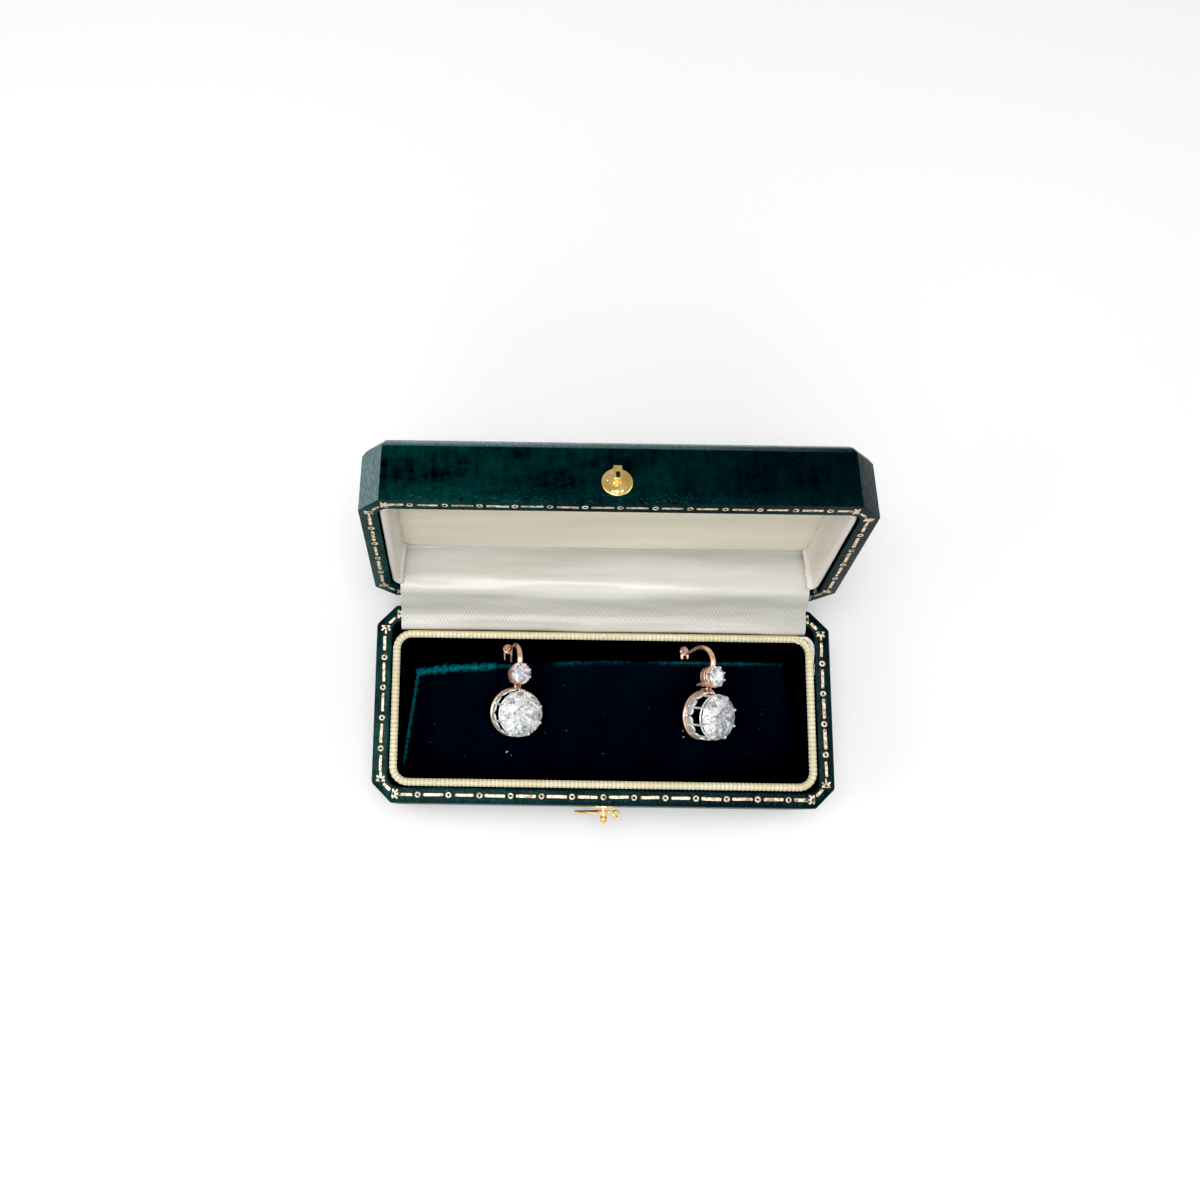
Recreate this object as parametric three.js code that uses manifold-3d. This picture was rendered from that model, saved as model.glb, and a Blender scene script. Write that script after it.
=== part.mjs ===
// A pair of drop earrings with lever-back hooks, lying in their hinged leather box with the lid open.
// Millimetres, +Z up, +X to the wearer's right of the box front, the lid's hinge at the back (+Y).
// The origin is the centre of the box's underside.

import * as THREE from 'three';
import { mergeVertices } from 'three/addons/utils/BufferGeometryUtils.js';
import { ConvexGeometry } from 'three/addons/geometries/ConvexGeometry.js';
import Module from 'manifold-3d';

const wasm = await Module();
wasm.setup();

const degrees = Math.PI / 180;

// Jewel box
const boxWidth = 80;
const boxDepth = 34.5;
const cornerCut = 3.4;
const baseHeight = 18;
const lidHeight = 10.5;
const lidGap = 0.2;
const wallThickness = 2.8;
const floorThickness = 2.5;
const lidTopThickness = 1.8;
const cavityRadius = 2;
const lidEdgeBevel = 1;
const lidOpenAngle = 103.9;
const soleThickness = 0.3;
const soleInset = 0.25;
const plateGap = 0.05;

// Hinge, let out behind the back wall
const hingeAxisY = boxDepth / 2 + 1.2;
const hingeAxisZ = baseHeight + lidGap / 2;
const hingeX = 22;
const hingeLength = 14;
const knuckleRadius = 0.95;
const hingePinRadius = 0.42;
const hingeLeafThickness = 0.5;
const hingeLeafHeight = 5.5;
const hingeLeafStart = 0.35;
const hingeSpreadStart = 1.2;

// Lining, piping and pad inside the base
const linerWall = 0.7;
const linerTop = 16.4;
const satinTuck = 1.5;
const satinHalfThickness = 0.3;
const satinHalfWidth = 35.2;
const lidLiningWall = 1;
const lidLiningSetBack = 0.5;
const lidLiningBackY = 12.2;
const ceilingPadDepth = 0.85;
const ceilingPadRoll = 0.5;
const pipingWidth = 1.4;
const pipingBottom = 16.6;
const pipingTop = 18.4;
const pipingRadius = 3.4;
const fit = 0.15;
const padSlope = 9;
const padRidgeY = 7.7;
const padRidgeZ = 15.5;
const padHalfWidth = 35.3;
const padFrontY = -12.5;
const padBackY = 11.5;
const padBackZ = 10.5;
const padSkirtZ = 2.8;
const padWall = 1.2;
const padRidge = [
  { x: -32.7, y: 5.7 },
  { x: -27, y: 6.45 },
  { x: 0, y: 7.9 },
  { x: 32.4, y: 8.0 },
];

// Catch on the front
const catchX = 0.3;
const catchPlateRadius = 2.3;
const catchPlateThickness = 0.3;
const catchPlateFromRim = 3.55;
const hookReach = 8.2;
const hookRestTurn = -151;
const hookStandOff = 0.95;
const hookThickness = 0.5;
const hookEyeRadius = 1.05;
const hookBoreRadius = 0.55;
const studRadius = 0.42;
const studReach = 2.4;
const studHeadRadius = 0.62;
const stapleX = -0.5;
const stapleWidth = 1.25;
const stapleThickness = 0.35;
const stapleFootLow = 3.1;
const stapleFootHigh = 5.35;
const stapleRise = 1.45;

// Earring, in its own frame: X across, Y up to the hook, Z out of the stone's face, from the main girdle
const stoneSpacing = 7.05;
const topDrop = 1;
const topPitch = -8;
const mainStoneRadius = 3.85;
const topStoneRadius = 1.75;
const mainClaws = 8;
const mainDepth = 4.3;
const backRingWire = 0.33;
const leverPivotY = -1.1;
const leverPivotZ = -2.95;
const leverHeadY = 5.1;
const leverHeadZ = -8.1;
const leverHeadRadius = 0.95;
const prongX = 0.655;
const prongWidth = 0.35;
const leverThickness = 0.5;
const leverHubRadius = 0.48;
const pinLength = 1.9;
const pinRadius = 0.2;
const pinHoleRadius = 0.26;
const lugHalfWidth = 0.38;
const topClaws = 8;
const petalHalfWidth = 0.66;
const petalShoulder = 0.55;
const petalRise = 0.75;
const petalThickness = 0.28;
const railWire = 0.2;
const linkWire = 0.18;
const linkCentreY = 4.03;
const linkCentreZ = -3.3;
const linkHalfLength = 1.7;
const linkHalfWidth = 0.68;
const linkEyeY = -2.07;
const linkEyeZ = -2.1;

// How each earring lies: place of its main girdle, turn of its face to the right, lean across the pad,
// height of the girdle's centre over the pad's face, and how far forward its slit in the velvet runs
const earrings = [
  { side: 'left', x: -14.3, y: -1.8, faceTurn: 17.4, lean: -1.9, lift: 4.93, slitFront: -6.3 },
  { side: 'right', x: 19.85, y: -1.95, faceTurn: 34, lean: -2.8, lift: 5.49, slitFront: -2.8 },
];
const slitHalfWidth = 1.1;
const slitBack = 16;
const dentRadius = 4.6;
const dentDepth = 4.78;

function material(color, roughness, metalness) {
  return new THREE.MeshStandardMaterial({ color, roughness, metalness });
}

const leather = material(0x12352c, 0.55, 0);
const velvet = material(0x0a1c22, 0.95, 0);
const ivorySatin = material(0xe9e3d2, 0.45, 0);
const creamCord = material(0xe6dfc3, 0.7, 0);
const brass = material(0xd9a93c, 0.25, 1);
const roseGold = material(0xd99a7c, 0.2, 1);
const whiteMetal = material(0xd8d8d6, 0.2, 1);
const diamond = material(0xf4f6fa, 0.05, 0);

// A closed geometry as a solid that can be joined and cut
function toSolid(geometry) {
  const bare = geometry.clone();
  bare.deleteAttribute('normal');
  bare.deleteAttribute('uv');
  const merged = mergeVertices(bare, 1e-5);
  return new wasm.Manifold(new wasm.Mesh({
    numProp: 3,
    vertProperties: new Float32Array(merged.attributes.position.array),
    triVerts: new Uint32Array(merged.index.array),
  }));
}

function toGeometry(solid) {
  const mesh = solid.getMesh();
  const geometry = new THREE.BufferGeometry();
  geometry.setAttribute('position', new THREE.BufferAttribute(new Float32Array(mesh.vertProperties), 3));
  geometry.setIndex(new THREE.BufferAttribute(new Uint32Array(mesh.triVerts), 1));
  geometry.computeVertexNormals();
  return geometry;
}

function fuse(...geometries) {
  return geometries.map(toSolid).reduce((whole, next) => whole.add(next));
}

function addPiece(group, name, shape, surface) {
  const geometry = shape.isBufferGeometry ? shape : toGeometry(shape);
  const mesh = new THREE.Mesh(geometry, surface);
  mesh.name = name;
  group.add(mesh);
}

function box(x0, x1, y0, y1, z0, z1) {
  const geometry = new THREE.BoxGeometry(x1 - x0, y1 - y0, z1 - z0);
  return geometry.translate((x0 + x1) / 2, (y0 + y1) / 2, (z0 + z1) / 2);
}

// A cylinder with its axis along X, Y or Z
function rod(axis, radius, length, sides, x, y, z) {
  const geometry = new THREE.CylinderGeometry(radius, radius, length, sides);
  if (axis === 'x') geometry.rotateZ(-Math.PI / 2);
  if (axis === 'z') geometry.rotateX(Math.PI / 2);
  return geometry.translate(x, y, z);
}

// A ring of round wire about the Z axis
function wireRing(radius, wire, segments, sides, z) {
  return new THREE.TorusGeometry(radius, wire, sides, segments).translate(0, 0, z);
}

// A rod bent along a flat curve; sizeAt gives its half widths across and in the curve's plane
function bentRod(curve, steps, sides, planeNormal, sizeAt) {
  const geometry = new THREE.CylinderGeometry(1, 1, 1, sides, steps);
  const position = geometry.attributes.position;
  for (let i = 0; i < position.count; i += 1) {
    const t = position.getY(i) + 0.5;
    const centre = curve.getPoint(t);
    const tangent = curve.getTangent(t);
    const inPlane = new THREE.Vector3().crossVectors(planeNormal, tangent);
    const size = sizeAt(t);
    centre.addScaledVector(planeNormal, position.getX(i) * size.across);
    centre.addScaledVector(inPlane, position.getZ(i) * size.inPlane);
    position.setXYZ(i, centre.x, centre.y, centre.z);
  }
  return geometry;
}

// Box outlines seen from above
function cutCornerOutline(halfWidth, halfDepth, cut) {
  return [
    [-halfWidth, -halfDepth + cut], [-halfWidth + cut, -halfDepth],
    [halfWidth - cut, -halfDepth], [halfWidth, -halfDepth + cut],
    [halfWidth, halfDepth - cut], [halfWidth - cut, halfDepth],
    [-halfWidth + cut, halfDepth], [-halfWidth, halfDepth - cut],
  ];
}

function roundedShape(halfWidth, front, back, radius, isHole = false) {
  const outline = isHole ? new THREE.Path() : new THREE.Shape();
  outline.moveTo(-halfWidth + radius, front);
  outline.absarc(halfWidth - radius, front + radius, radius, -Math.PI / 2, 0);
  outline.absarc(halfWidth - radius, back - radius, radius, 0, Math.PI / 2);
  outline.absarc(-halfWidth + radius, back - radius, radius, Math.PI / 2, Math.PI);
  outline.absarc(-halfWidth + radius, front + radius, radius, Math.PI, 1.5 * Math.PI);
  return outline;
}

function prism(shape, z0, z1, curveSegments = 5) {
  const settings = { depth: z1 - z0, bevelEnabled: false, curveSegments };
  return new THREE.ExtrudeGeometry(shape, settings).translate(0, 0, z0);
}

// A closed frame of wall thickness `wall` inside a rounded outline
function frame(halfWidth, front, back, radius, wall, z0, z1) {
  const shape = roundedShape(halfWidth, front, back, radius);
  const innerRadius = Math.max(radius - wall, 0.4);
  shape.holes.push(roundedShape(halfWidth - wall, front + wall, back - wall, innerRadius, true));
  return prism(shape, z0, z1);
}

const halfWidth = boxWidth / 2;
const halfDepth = boxDepth / 2;
const cavityHalfWidth = halfWidth - wallThickness;
const cavityHalfDepth = halfDepth - wallThickness;

// Case walls with an open cavity; the lid's far face has a narrow bevel
function caseShell(z0, z1, bevelTop, cavityFrom, cavityTo) {
  const outline = cutCornerOutline(halfWidth, halfDepth, cornerCut);
  const inset = cutCornerOutline(halfWidth - bevelTop, halfDepth - bevelTop, cornerCut - bevelTop * 0.4);
  const points = outline.map(([x, y]) => new THREE.Vector3(x, y, z0));
  points.push(...outline.map(([x, y]) => new THREE.Vector3(x, y, z1 - bevelTop)));
  if (bevelTop > 0) points.push(...inset.map(([x, y]) => new THREE.Vector3(x, y, z1)));
  const cavityShape = roundedShape(cavityHalfWidth, -cavityHalfDepth, cavityHalfDepth, cavityRadius);
  return toSolid(new ConvexGeometry(points)).subtract(toSolid(prism(cavityShape, cavityFrom, cavityTo)));
}

// Height of the pad's display face at depth y
function padFaceZ(y) {
  return padRidgeZ + (y - padRidgeY) * Math.tan(padSlope * degrees);
}

function padBlock(inset, drop, bottom) {
  const side = padHalfWidth - inset;
  const front = padFrontY + inset;
  const back = padBackY - inset;
  const points = [];
  for (const { x, y } of padRidge) {
    const shrink = 1 - (inset * 1.4) / 32.4;
    points.push(new THREE.Vector3(x * shrink, y - inset * 0.3, padFaceZ(y) - drop));
  }
  for (const x of [-side, side]) {
    points.push(new THREE.Vector3(x, front, padFaceZ(front) - drop));
    points.push(new THREE.Vector3(x, back, padBackZ - drop));
    points.push(new THREE.Vector3(x, front, bottom));
    points.push(new THREE.Vector3(x, back, bottom));
  }
  return toSolid(new ConvexGeometry(points));
}

function earringMatrix({ x, y, faceTurn, lean, lift }) {
  const slope = padSlope * degrees;
  const z = padFaceZ(y) + lift / Math.cos(slope);
  const place = new THREE.Vector3(x, y, z);
  return new THREE.Matrix4().makeTranslation(place)
    .multiply(new THREE.Matrix4().makeRotationX(slope))
    .multiply(new THREE.Matrix4().makeRotationZ(lean * degrees))
    .multiply(new THREE.Matrix4().makeRotationY(faceTurn * degrees));
}

// Velvet-covered card pad, hollow beneath: its display face has a slit and a dent for each earring
function velvetPad() {
  let pad = padBlock(0, 0, padSkirtZ).subtract(padBlock(padWall, padWall, padSkirtZ - 1));
  for (const earring of earrings) {
    const slit = box(-slitHalfWidth, slitHalfWidth, earring.slitFront, slitBack, -15, -3.2);
    const dent = rod('z', dentRadius, dentDepth, 32, 0, 0, -dentDepth / 2);
    const cut = toSolid(slit).add(toSolid(dent)).transform(earringMatrix(earring).elements);
    pad = pad.subtract(cut);
  }
  return pad;
}

// Lining collar in the base, its back run set forward to leave room for the tucked satin
function wellLiner() {
  const side = cavityHalfWidth - fit;
  const back = cavityHalfDepth - satinTuck;
  return frame(side, -cavityHalfDepth + fit, back, cavityRadius, linerWall, floorThickness + 0.2, linerTop);
}

function basePiping() {
  const side = cavityHalfWidth - 0.1;
  const front = -cavityHalfDepth + 0.1;
  return frame(side, front, cavityHalfDepth - satinTuck, pipingRadius, pipingWidth, pipingBottom, pipingTop);
}

// Lid pieces are drawn closed and turned about the hinge with their group
const lidBottom = baseHeight + lidGap;
const lidTop = lidBottom + lidHeight;
const lidCeiling = lidTop - lidTopThickness;

function lidLining() {
  const ring = frame(cavityHalfWidth - fit, -cavityHalfDepth + fit, cavityHalfDepth - fit,
    cavityRadius, lidLiningWall, lidBottom + lidLiningSetBack, lidCeiling - fit);
  const behind = box(-halfWidth, halfWidth, lidLiningBackY, halfDepth, lidBottom - 1, lidTop);
  return toSolid(ring).subtract(toSolid(behind));
}

function lidCeilingPad() {
  const side = cavityHalfWidth - fit - lidLiningWall - 0.2;
  const shape = roundedShape(side - ceilingPadRoll, -cavityHalfDepth + 1.9, 12.3, cavityRadius);
  const settings = {
    depth: ceilingPadDepth - ceilingPadRoll,
    bevelThickness: ceilingPadRoll,
    bevelSize: ceilingPadRoll,
    bevelSegments: 2,
    curveSegments: 5,
  };
  return new THREE.ExtrudeGeometry(shape, settings).translate(0, 0, lidCeiling - fit - ceilingPadDepth);
}

function openLid(y, z) {
  const turn = lidOpenAngle * degrees;
  const dy = y - hingeAxisY;
  const dz = z - hingeAxisZ;
  return new THREE.Vector2(
    hingeAxisY + dy * Math.cos(turn) + dz * Math.sin(turn),
    hingeAxisZ - dy * Math.sin(turn) + dz * Math.cos(turn),
  );
}

// Satin over the hinge: from the lid's ceiling over both rims and down behind the piping
function satinHingeCover() {
  const cloth = satinHalfThickness;
  const back = cavityHalfDepth;
  const onLid = [
    openLid(back - 0.65, 24.1), openLid(back - 0.6, 21.5), openLid(back - 0.6, 19.2),
    openLid(back - 0.1, 17.8), openLid(back + 1, 17.6), openLid(back + 2.1, 17.6),
  ];
  const onBase = [
    [hingeAxisY - 1, 19.25], [back + 1.8, 18.62], [back + 0.5, 18.6],
    [back - 0.45, 18.1], [back - 0.75, 16.6], [back - 0.75, 14.5],
  ].map(([y, z]) => new THREE.Vector2(y, z));
  const centreLine = new THREE.SplineCurve([...onLid, ...onBase]);
  const steps = 36;
  const above = [];
  const below = [];
  for (let i = 0; i <= steps; i += 1) {
    const point = centreLine.getPoint(i / steps);
    const tangent = centreLine.getTangent(i / steps);
    above.push(new THREE.Vector2(point.x + tangent.y * cloth, point.y - tangent.x * cloth));
    below.unshift(new THREE.Vector2(point.x - tangent.y * cloth, point.y + tangent.x * cloth));
  }
  const shape = new THREE.Shape([...above, ...below]);
  const sheet = new THREE.ExtrudeGeometry(shape, { depth: 2 * satinHalfWidth, bevelEnabled: false });
  const alongX = new THREE.Matrix4().makeBasis(
    new THREE.Vector3(0, 1, 0), new THREE.Vector3(0, 0, 1), new THREE.Vector3(1, 0, 0));
  return sheet.applyMatrix4(alongX).translate(-satinHalfWidth, 0, 0);
}

// One leaf of a small brass hinge with the knuckles that belong to it
function hingeLeaf(x, upwards, knuckles) {
  const sign = upwards ? 1 : -1;
  const near = hingeAxisZ + sign * hingeLeafStart;
  const inner = near + sign * hingeSpreadStart;
  const far = near + sign * hingeLeafHeight;
  const face = halfDepth + plateGap;
  const back = face + hingeLeafThickness;
  let leaf = null;
  for (const { from, to } of knuckles) {
    const tab = box(x + from, x + to, face, back, Math.min(near, far), Math.max(near, far));
    const barrel = rod('x', knuckleRadius, to - from, 14, x + (from + to) / 2, hingeAxisY, hingeAxisZ);
    const knuckle = toSolid(tab).add(toSolid(barrel));
    leaf = leaf ? leaf.add(knuckle) : knuckle;
  }
  const spread = box(x - hingeLength / 2, x + hingeLength / 2, face, back,
    Math.min(far, inner), Math.max(far, inner));
  const bore = rod('x', hingePinRadius + 0.08, hingeLength + 2, 12, x, hingeAxisY, hingeAxisZ);
  return leaf.add(toSolid(spread)).subtract(toSolid(bore));
}

const outerKnuckles = [{ from: -hingeLength / 2, to: -2.4 }, { from: 2.4, to: hingeLength / 2 }];
const middleKnuckle = [{ from: -2.2, to: 2.2 }];

// Catch parts; the hook is drawn standing up, as it locks, with its pivot at the origin
function catchHook() {
  const armCurve = new THREE.SplineCurve([
    [0, 0], [-1.0, 2.0], [-2.25, 4.6], [-2.45, 6.6], [-1.9, 7.9], [-0.7, hookReach], [0.5, hookReach - 0.1],
  ].map(([x, z]) => new THREE.Vector2(x, z)));
  const tailCurve = new THREE.SplineCurve([
    [0, 0], [-0.1, -1.5], [-0.5, -2.8],
  ].map(([x, z]) => new THREE.Vector2(x, z)));
  const arm = bentArm(armCurve, 14, 0.44, 0.28);
  const tip = new THREE.SphereGeometry(0.36, 10, 6).translate(0.5, 0, hookReach - 0.1);
  const tail = bentArm(tailCurve, 4, 0.42, 0.26);
  const eye = rod('y', hookEyeRadius, hookThickness, 16, 0, 0, 0);
  const curl = wireRing(0.55, 0.22, 12, 6, 0).translate(-0.6, -0.4, -3);
  const bore = rod('y', hookBoreRadius, 4, 16, 0, 0, 0);
  return fuse(arm, tip, tail, eye, curl).subtract(toSolid(bore));
}

function bentArm(flatCurve, steps, startWidth, endWidth) {
  const points = flatCurve.getPoints(steps).map((p) => new THREE.Vector3(p.x, 0, p.y));
  const curve = new THREE.CatmullRomCurve3(points);
  return bentRod(curve, steps, 6, new THREE.Vector3(0, 1, 0), (t) => ({
    across: hookThickness / 2,
    inPlane: startWidth + (endWidth - startWidth) * t,
  }));
}

function catchPlate(x, z) {
  const y = -halfDepth - plateGap - catchPlateThickness / 2;
  return rod('y', catchPlateRadius, catchPlateThickness, 32, x, y, z);
}

// Brass loop that the hook passes under, soldered to its round plate
function lidCatch() {
  const face = -halfDepth - plateGap;
  const plate = catchPlate(stapleX, lidBottom + catchPlateFromRim);
  const low = lidBottom + stapleFootLow;
  const high = lidBottom + stapleFootHigh;
  const front = face - catchPlateThickness - stapleRise;
  const strap = box(stapleX - stapleWidth / 2, stapleX + stapleWidth / 2, front, face - 0.1, low, high);
  const window = box(stapleX - stapleWidth, stapleX + stapleWidth, front + stapleThickness,
    face - catchPlateThickness, low + stapleThickness, high - stapleThickness);
  return fuse(plate, strap).subtract(toSolid(window));
}

// Old-cut stone: table, crown, girdle, pavilion and a small culet
function cutStone(radius) {
  const rings = [
    { r: 0.53, z: 0.36, count: 8, turn: 0 },
    { r: 0.79, z: 0.215, count: 8, turn: 0.5 },
    { r: 1, z: 0.03, count: 16, turn: 0 },
    { r: 1, z: -0.03, count: 16, turn: 0 },
    { r: 0.56, z: -0.5, count: 8, turn: 0.5 },
    { r: 0.09, z: -0.84, count: 8, turn: 0 },
  ];
  const points = [];
  for (const { r, z, count, turn } of rings) {
    for (let i = 0; i < count; i += 1) {
      const angle = ((i + turn) / count) * 2 * Math.PI;
      const outward = new THREE.Vector3(Math.cos(angle), Math.sin(angle), 0);
      points.push(outward.multiplyScalar(r * radius).setZ(z * radius));
    }
  }
  return new ConvexGeometry(points);
}

// A claw standing at `radius` from the stone's axis and folding over its crown
function claw(angle, radius, foot, wire, tipIn, tipZ) {
  const curve = new THREE.CatmullRomCurve3([
    new THREE.Vector3(radius, 0, foot), new THREE.Vector3(radius, 0, foot * 0.4),
    new THREE.Vector3(radius, 0, tipZ * 0.15), new THREE.Vector3(radius - tipIn * 0.35, 0, tipZ * 0.78),
    new THREE.Vector3(radius - tipIn, 0, tipZ),
  ]);
  const shape = bentRod(curve, 5, 5, new THREE.Vector3(0, 1, 0), (t) => ({
    across: wire * (1 - 0.2 * t),
    inPlane: wire * (1 - 0.25 * t),
  }));
  return shape.rotateZ(angle);
}

function clawAngles(count) {
  return Array.from({ length: count }, (_, i) => ((i + 0.5) / count) * 2 * Math.PI);
}

// White-metal drum of the main stone: seat rail, foot rail, claws and two petals between each pair of claws
function mainSetting() {
  const footZ = -mainDepth + 0.65;
  const seatRail = wireRing(mainStoneRadius + 0.12, railWire, 24, 5, -0.78);
  const footRail = wireRing(mainStoneRadius + railWire, railWire, 24, 5, footZ);
  const parts = [seatRail, footRail];
  for (const angle of clawAngles(mainClaws)) {
    parts.push(claw(angle, mainStoneRadius + 0.34, footZ, 0.26, 0.5, 0.66));
  }
  const petal = new THREE.Shape();
  petal.moveTo(petalHalfWidth, 0);
  petal.lineTo(petalHalfWidth, petalShoulder);
  petal.absellipse(0, petalShoulder, petalHalfWidth, petalRise, 0, Math.PI);
  petal.lineTo(-petalHalfWidth, 0);
  for (const angle of clawAngles(2 * mainClaws)) {
    const settings = { depth: petalThickness, bevelEnabled: false, curveSegments: 4 };
    const plate = new THREE.ExtrudeGeometry(petal, settings);
    plate.rotateX(Math.PI / 2).rotateZ(Math.PI / 2);
    plate.translate(mainStoneRadius + 0.05, 0, footZ).rotateZ(angle);
    parts.push(plate);
  }
  return fuse(...parts);
}

// Rose-gold hook: wire and top collet soldered together, with the lever's lug and the eye for the link
function earHook() {
  const colletProfile = [
    [1.5, -0.45], [1.42, -1.4], [1.5, -2.3], [1.78, -2.3], [1.86, -1.75], [1.82, -1.45],
    [1.92, -1.25], [1.86, -0.95], [1.96, -0.75], [1.88, -0.45], [1.5, -0.45],
  ].map(([r, z]) => new THREE.Vector2(r, z));
  const collet = new THREE.LatheGeometry(colletProfile, 18).rotateX(Math.PI / 2);
  const parts = [collet];
  for (const angle of clawAngles(topClaws)) {
    parts.push(claw(angle, topStoneRadius + 0.22, -0.85, 0.15, 0.3, 0.42));
  }
  const wireCurve = new THREE.CatmullRomCurve3([
    [1.62, -1.0], [2.6, -0.8], [4.25, -1.4], [5.25, -2.9],
    [5.42, -4.2], [5.15, -5.6], [4.75, -6.8], [4.6, -7.7],
  ].map(([y, z]) => new THREE.Vector3(0, y, z)));
  parts.push(bentRod(wireCurve, 16, 7, new THREE.Vector3(1, 0, 0), (t) => {
    const radius = 0.54 - 0.3 * t;
    return { across: radius, inPlane: radius };
  }));
  parts.push(box(-lugHalfWidth, lugHalfWidth, -1.72, -0.75, -2.6, -2.15));
  parts.push(box(-lugHalfWidth, lugHalfWidth, -1.5, -0.75, -3.1, -2.4));
  parts.push(rod('x', 0.42, 2 * lugHalfWidth, 12, 0, leverPivotY, leverPivotZ));
  parts.push(wireRing(0.48, 0.13, 10, 5, 0).translate(0, linkEyeY, linkEyeZ));
  const bore = rod('x', pinHoleRadius, 3, 10, 0, leverPivotY, leverPivotZ);
  return fuse(...parts).subtract(toSolid(bore));
}

// Two-pronged lever with an oval head that closes on the wire's tip
function lever() {
  const path = [
    [leverPivotY, leverPivotZ], [-1.15, -4.4], [-0.4, -6.3], [1.2, -7.7], [2.9, -8.1], [4.45, leverHeadZ],
  ].map(([y, z]) => new THREE.Vector3(0, y, z));
  const curve = new THREE.CatmullRomCurve3(path);
  const head = rod('z', leverHeadRadius, leverThickness, 16, 0, leverHeadY, leverHeadZ);
  const parts = [head];
  for (const x of [-prongX, prongX]) {
    const prong = bentRod(curve, 10, 5, new THREE.Vector3(1, 0, 0), () => ({
      across: prongWidth / 2,
      inPlane: leverThickness / 2,
    }));
    parts.push(prong.translate(x, 0, 0));
    parts.push(rod('x', leverHubRadius, prongWidth, 12, x, leverPivotY, leverPivotZ));
  }
  const bore = rod('x', pinHoleRadius, 3, 10, 0, leverPivotY, leverPivotZ);
  return fuse(...parts).subtract(toSolid(bore));
}

// Long oval link through the hook's eye and round the drum's foot, in the earring's middle plane
function dropLink() {
  const link = new THREE.TorusGeometry(1, linkWire, 6, 20);
  const position = link.attributes.position;
  for (let i = 0; i < position.count; i += 1) {
    const angle = Math.atan2(position.getY(i), position.getX(i));
    const wire = Math.hypot(position.getX(i), position.getY(i)) - 1;
    const along = (linkHalfLength + wire) * Math.cos(angle);
    const up = (linkHalfWidth + wire) * Math.sin(angle);
    position.setXYZ(i, position.getZ(i), linkCentreY + up, linkCentreZ - along);
  }
  return toSolid(link);
}

function earring(details) {
  const group = new THREE.Group();
  group.applyMatrix4(earringMatrix(details));
  const { side } = details;
  const top = new THREE.Group();
  top.position.set(0, stoneSpacing, -topDrop);
  top.rotation.x = topPitch * degrees;
  group.add(top);
  const pin = rod('x', pinRadius, pinLength, 10, 0, leverPivotY, leverPivotZ);
  const backRing = wireRing(mainStoneRadius + railWire, backRingWire, 32, 7, -mainDepth);
  addPiece(top, `${side}_ear_hook`, earHook(), roseGold);
  addPiece(top, `${side}_lever`, lever(), roseGold);
  addPiece(top, `${side}_lever_pin`, pin, roseGold);
  addPiece(top, `${side}_top_stone`, cutStone(topStoneRadius), diamond);
  addPiece(group, `${side}_drop_link`, dropLink(), roseGold);
  addPiece(group, `${side}_main_setting`, mainSetting(), whiteMetal);
  addPiece(group, `${side}_back_ring`, backRing, roseGold);
  addPiece(group, `${side}_main_stone`, cutStone(mainStoneRadius), diamond);
  return group;
}

function catchStud(z) {
  const face = -halfDepth - 2 * plateGap - catchPlateThickness;
  const ball = new THREE.SphereGeometry(studHeadRadius, 12, 8);
  return fuse(
    rod('y', studRadius, studReach, 12, catchX, face - studReach / 2, z),
    ball.translate(catchX, face - studReach + 0.05, z),
  );
}

// Sheet pasted under the base, which the box stands on
function baseSole() {
  const side = halfWidth - cornerCut - soleInset;
  const front = halfDepth - soleInset;
  return box(-side, side, -front, front, 0, soleThickness);
}

function baseBox() {
  const group = new THREE.Group();
  const plateZ = baseHeight - catchPlateFromRim;
  const walls = caseShell(soleThickness, baseHeight, 0, floorThickness, baseHeight + 1);
  addPiece(group, 'base_sole', baseSole(), leather);
  addPiece(group, 'base_case', walls, leather);
  addPiece(group, 'well_liner', wellLiner(), velvet);
  addPiece(group, 'base_piping', basePiping(), creamCord);
  addPiece(group, 'velvet_pad', velvetPad(), velvet);
  addPiece(group, 'satin_hinge_cover', satinHingeCover(), ivorySatin);
  addPiece(group, 'base_catch_plate', catchPlate(catchX, plateZ), brass);
  addPiece(group, 'catch_stud', catchStud(plateZ), brass);
  for (const [side, x] of [['left', -hingeX], ['right', hingeX]]) {
    const pin = rod('x', hingePinRadius, hingeLength, 12, x, hingeAxisY, hingeAxisZ);
    addPiece(group, `${side}_hinge_base_leaf`, hingeLeaf(x, false, outerKnuckles), brass);
    addPiece(group, `${side}_hinge_pin`, pin, brass);
  }
  return group;
}

function hookOnFront() {
  const group = new THREE.Group();
  group.position.set(catchX, -halfDepth - plateGap - hookStandOff, baseHeight - catchPlateFromRim);
  group.rotation.y = hookRestTurn * degrees;
  addPiece(group, 'catch_hook', catchHook(), brass);
  return group;
}

function lidBox() {
  const turning = new THREE.Group();
  turning.position.set(0, hingeAxisY, hingeAxisZ);
  turning.rotation.x = -lidOpenAngle * degrees;
  const closed = new THREE.Group();
  closed.position.set(0, -hingeAxisY, -hingeAxisZ);
  turning.add(closed);
  const shell = caseShell(lidBottom, lidTop, lidEdgeBevel, lidBottom - 1, lidCeiling);
  addPiece(closed, 'lid_case', shell, leather);
  addPiece(closed, 'lid_lining', lidLining(), ivorySatin);
  addPiece(closed, 'lid_ceiling_pad', lidCeilingPad(), ivorySatin);
  addPiece(closed, 'lid_catch', lidCatch(), brass);
  for (const [side, x] of [['left', -hingeX], ['right', hingeX]]) {
    addPiece(closed, `${side}_hinge_lid_leaf`, hingeLeaf(x, true, middleKnuckle), brass);
  }
  return turning;
}

const group = new THREE.Group();
group.add(baseBox(), hookOnFront(), lidBox());
for (const details of earrings) group.add(earring(details));

export default group;
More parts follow.
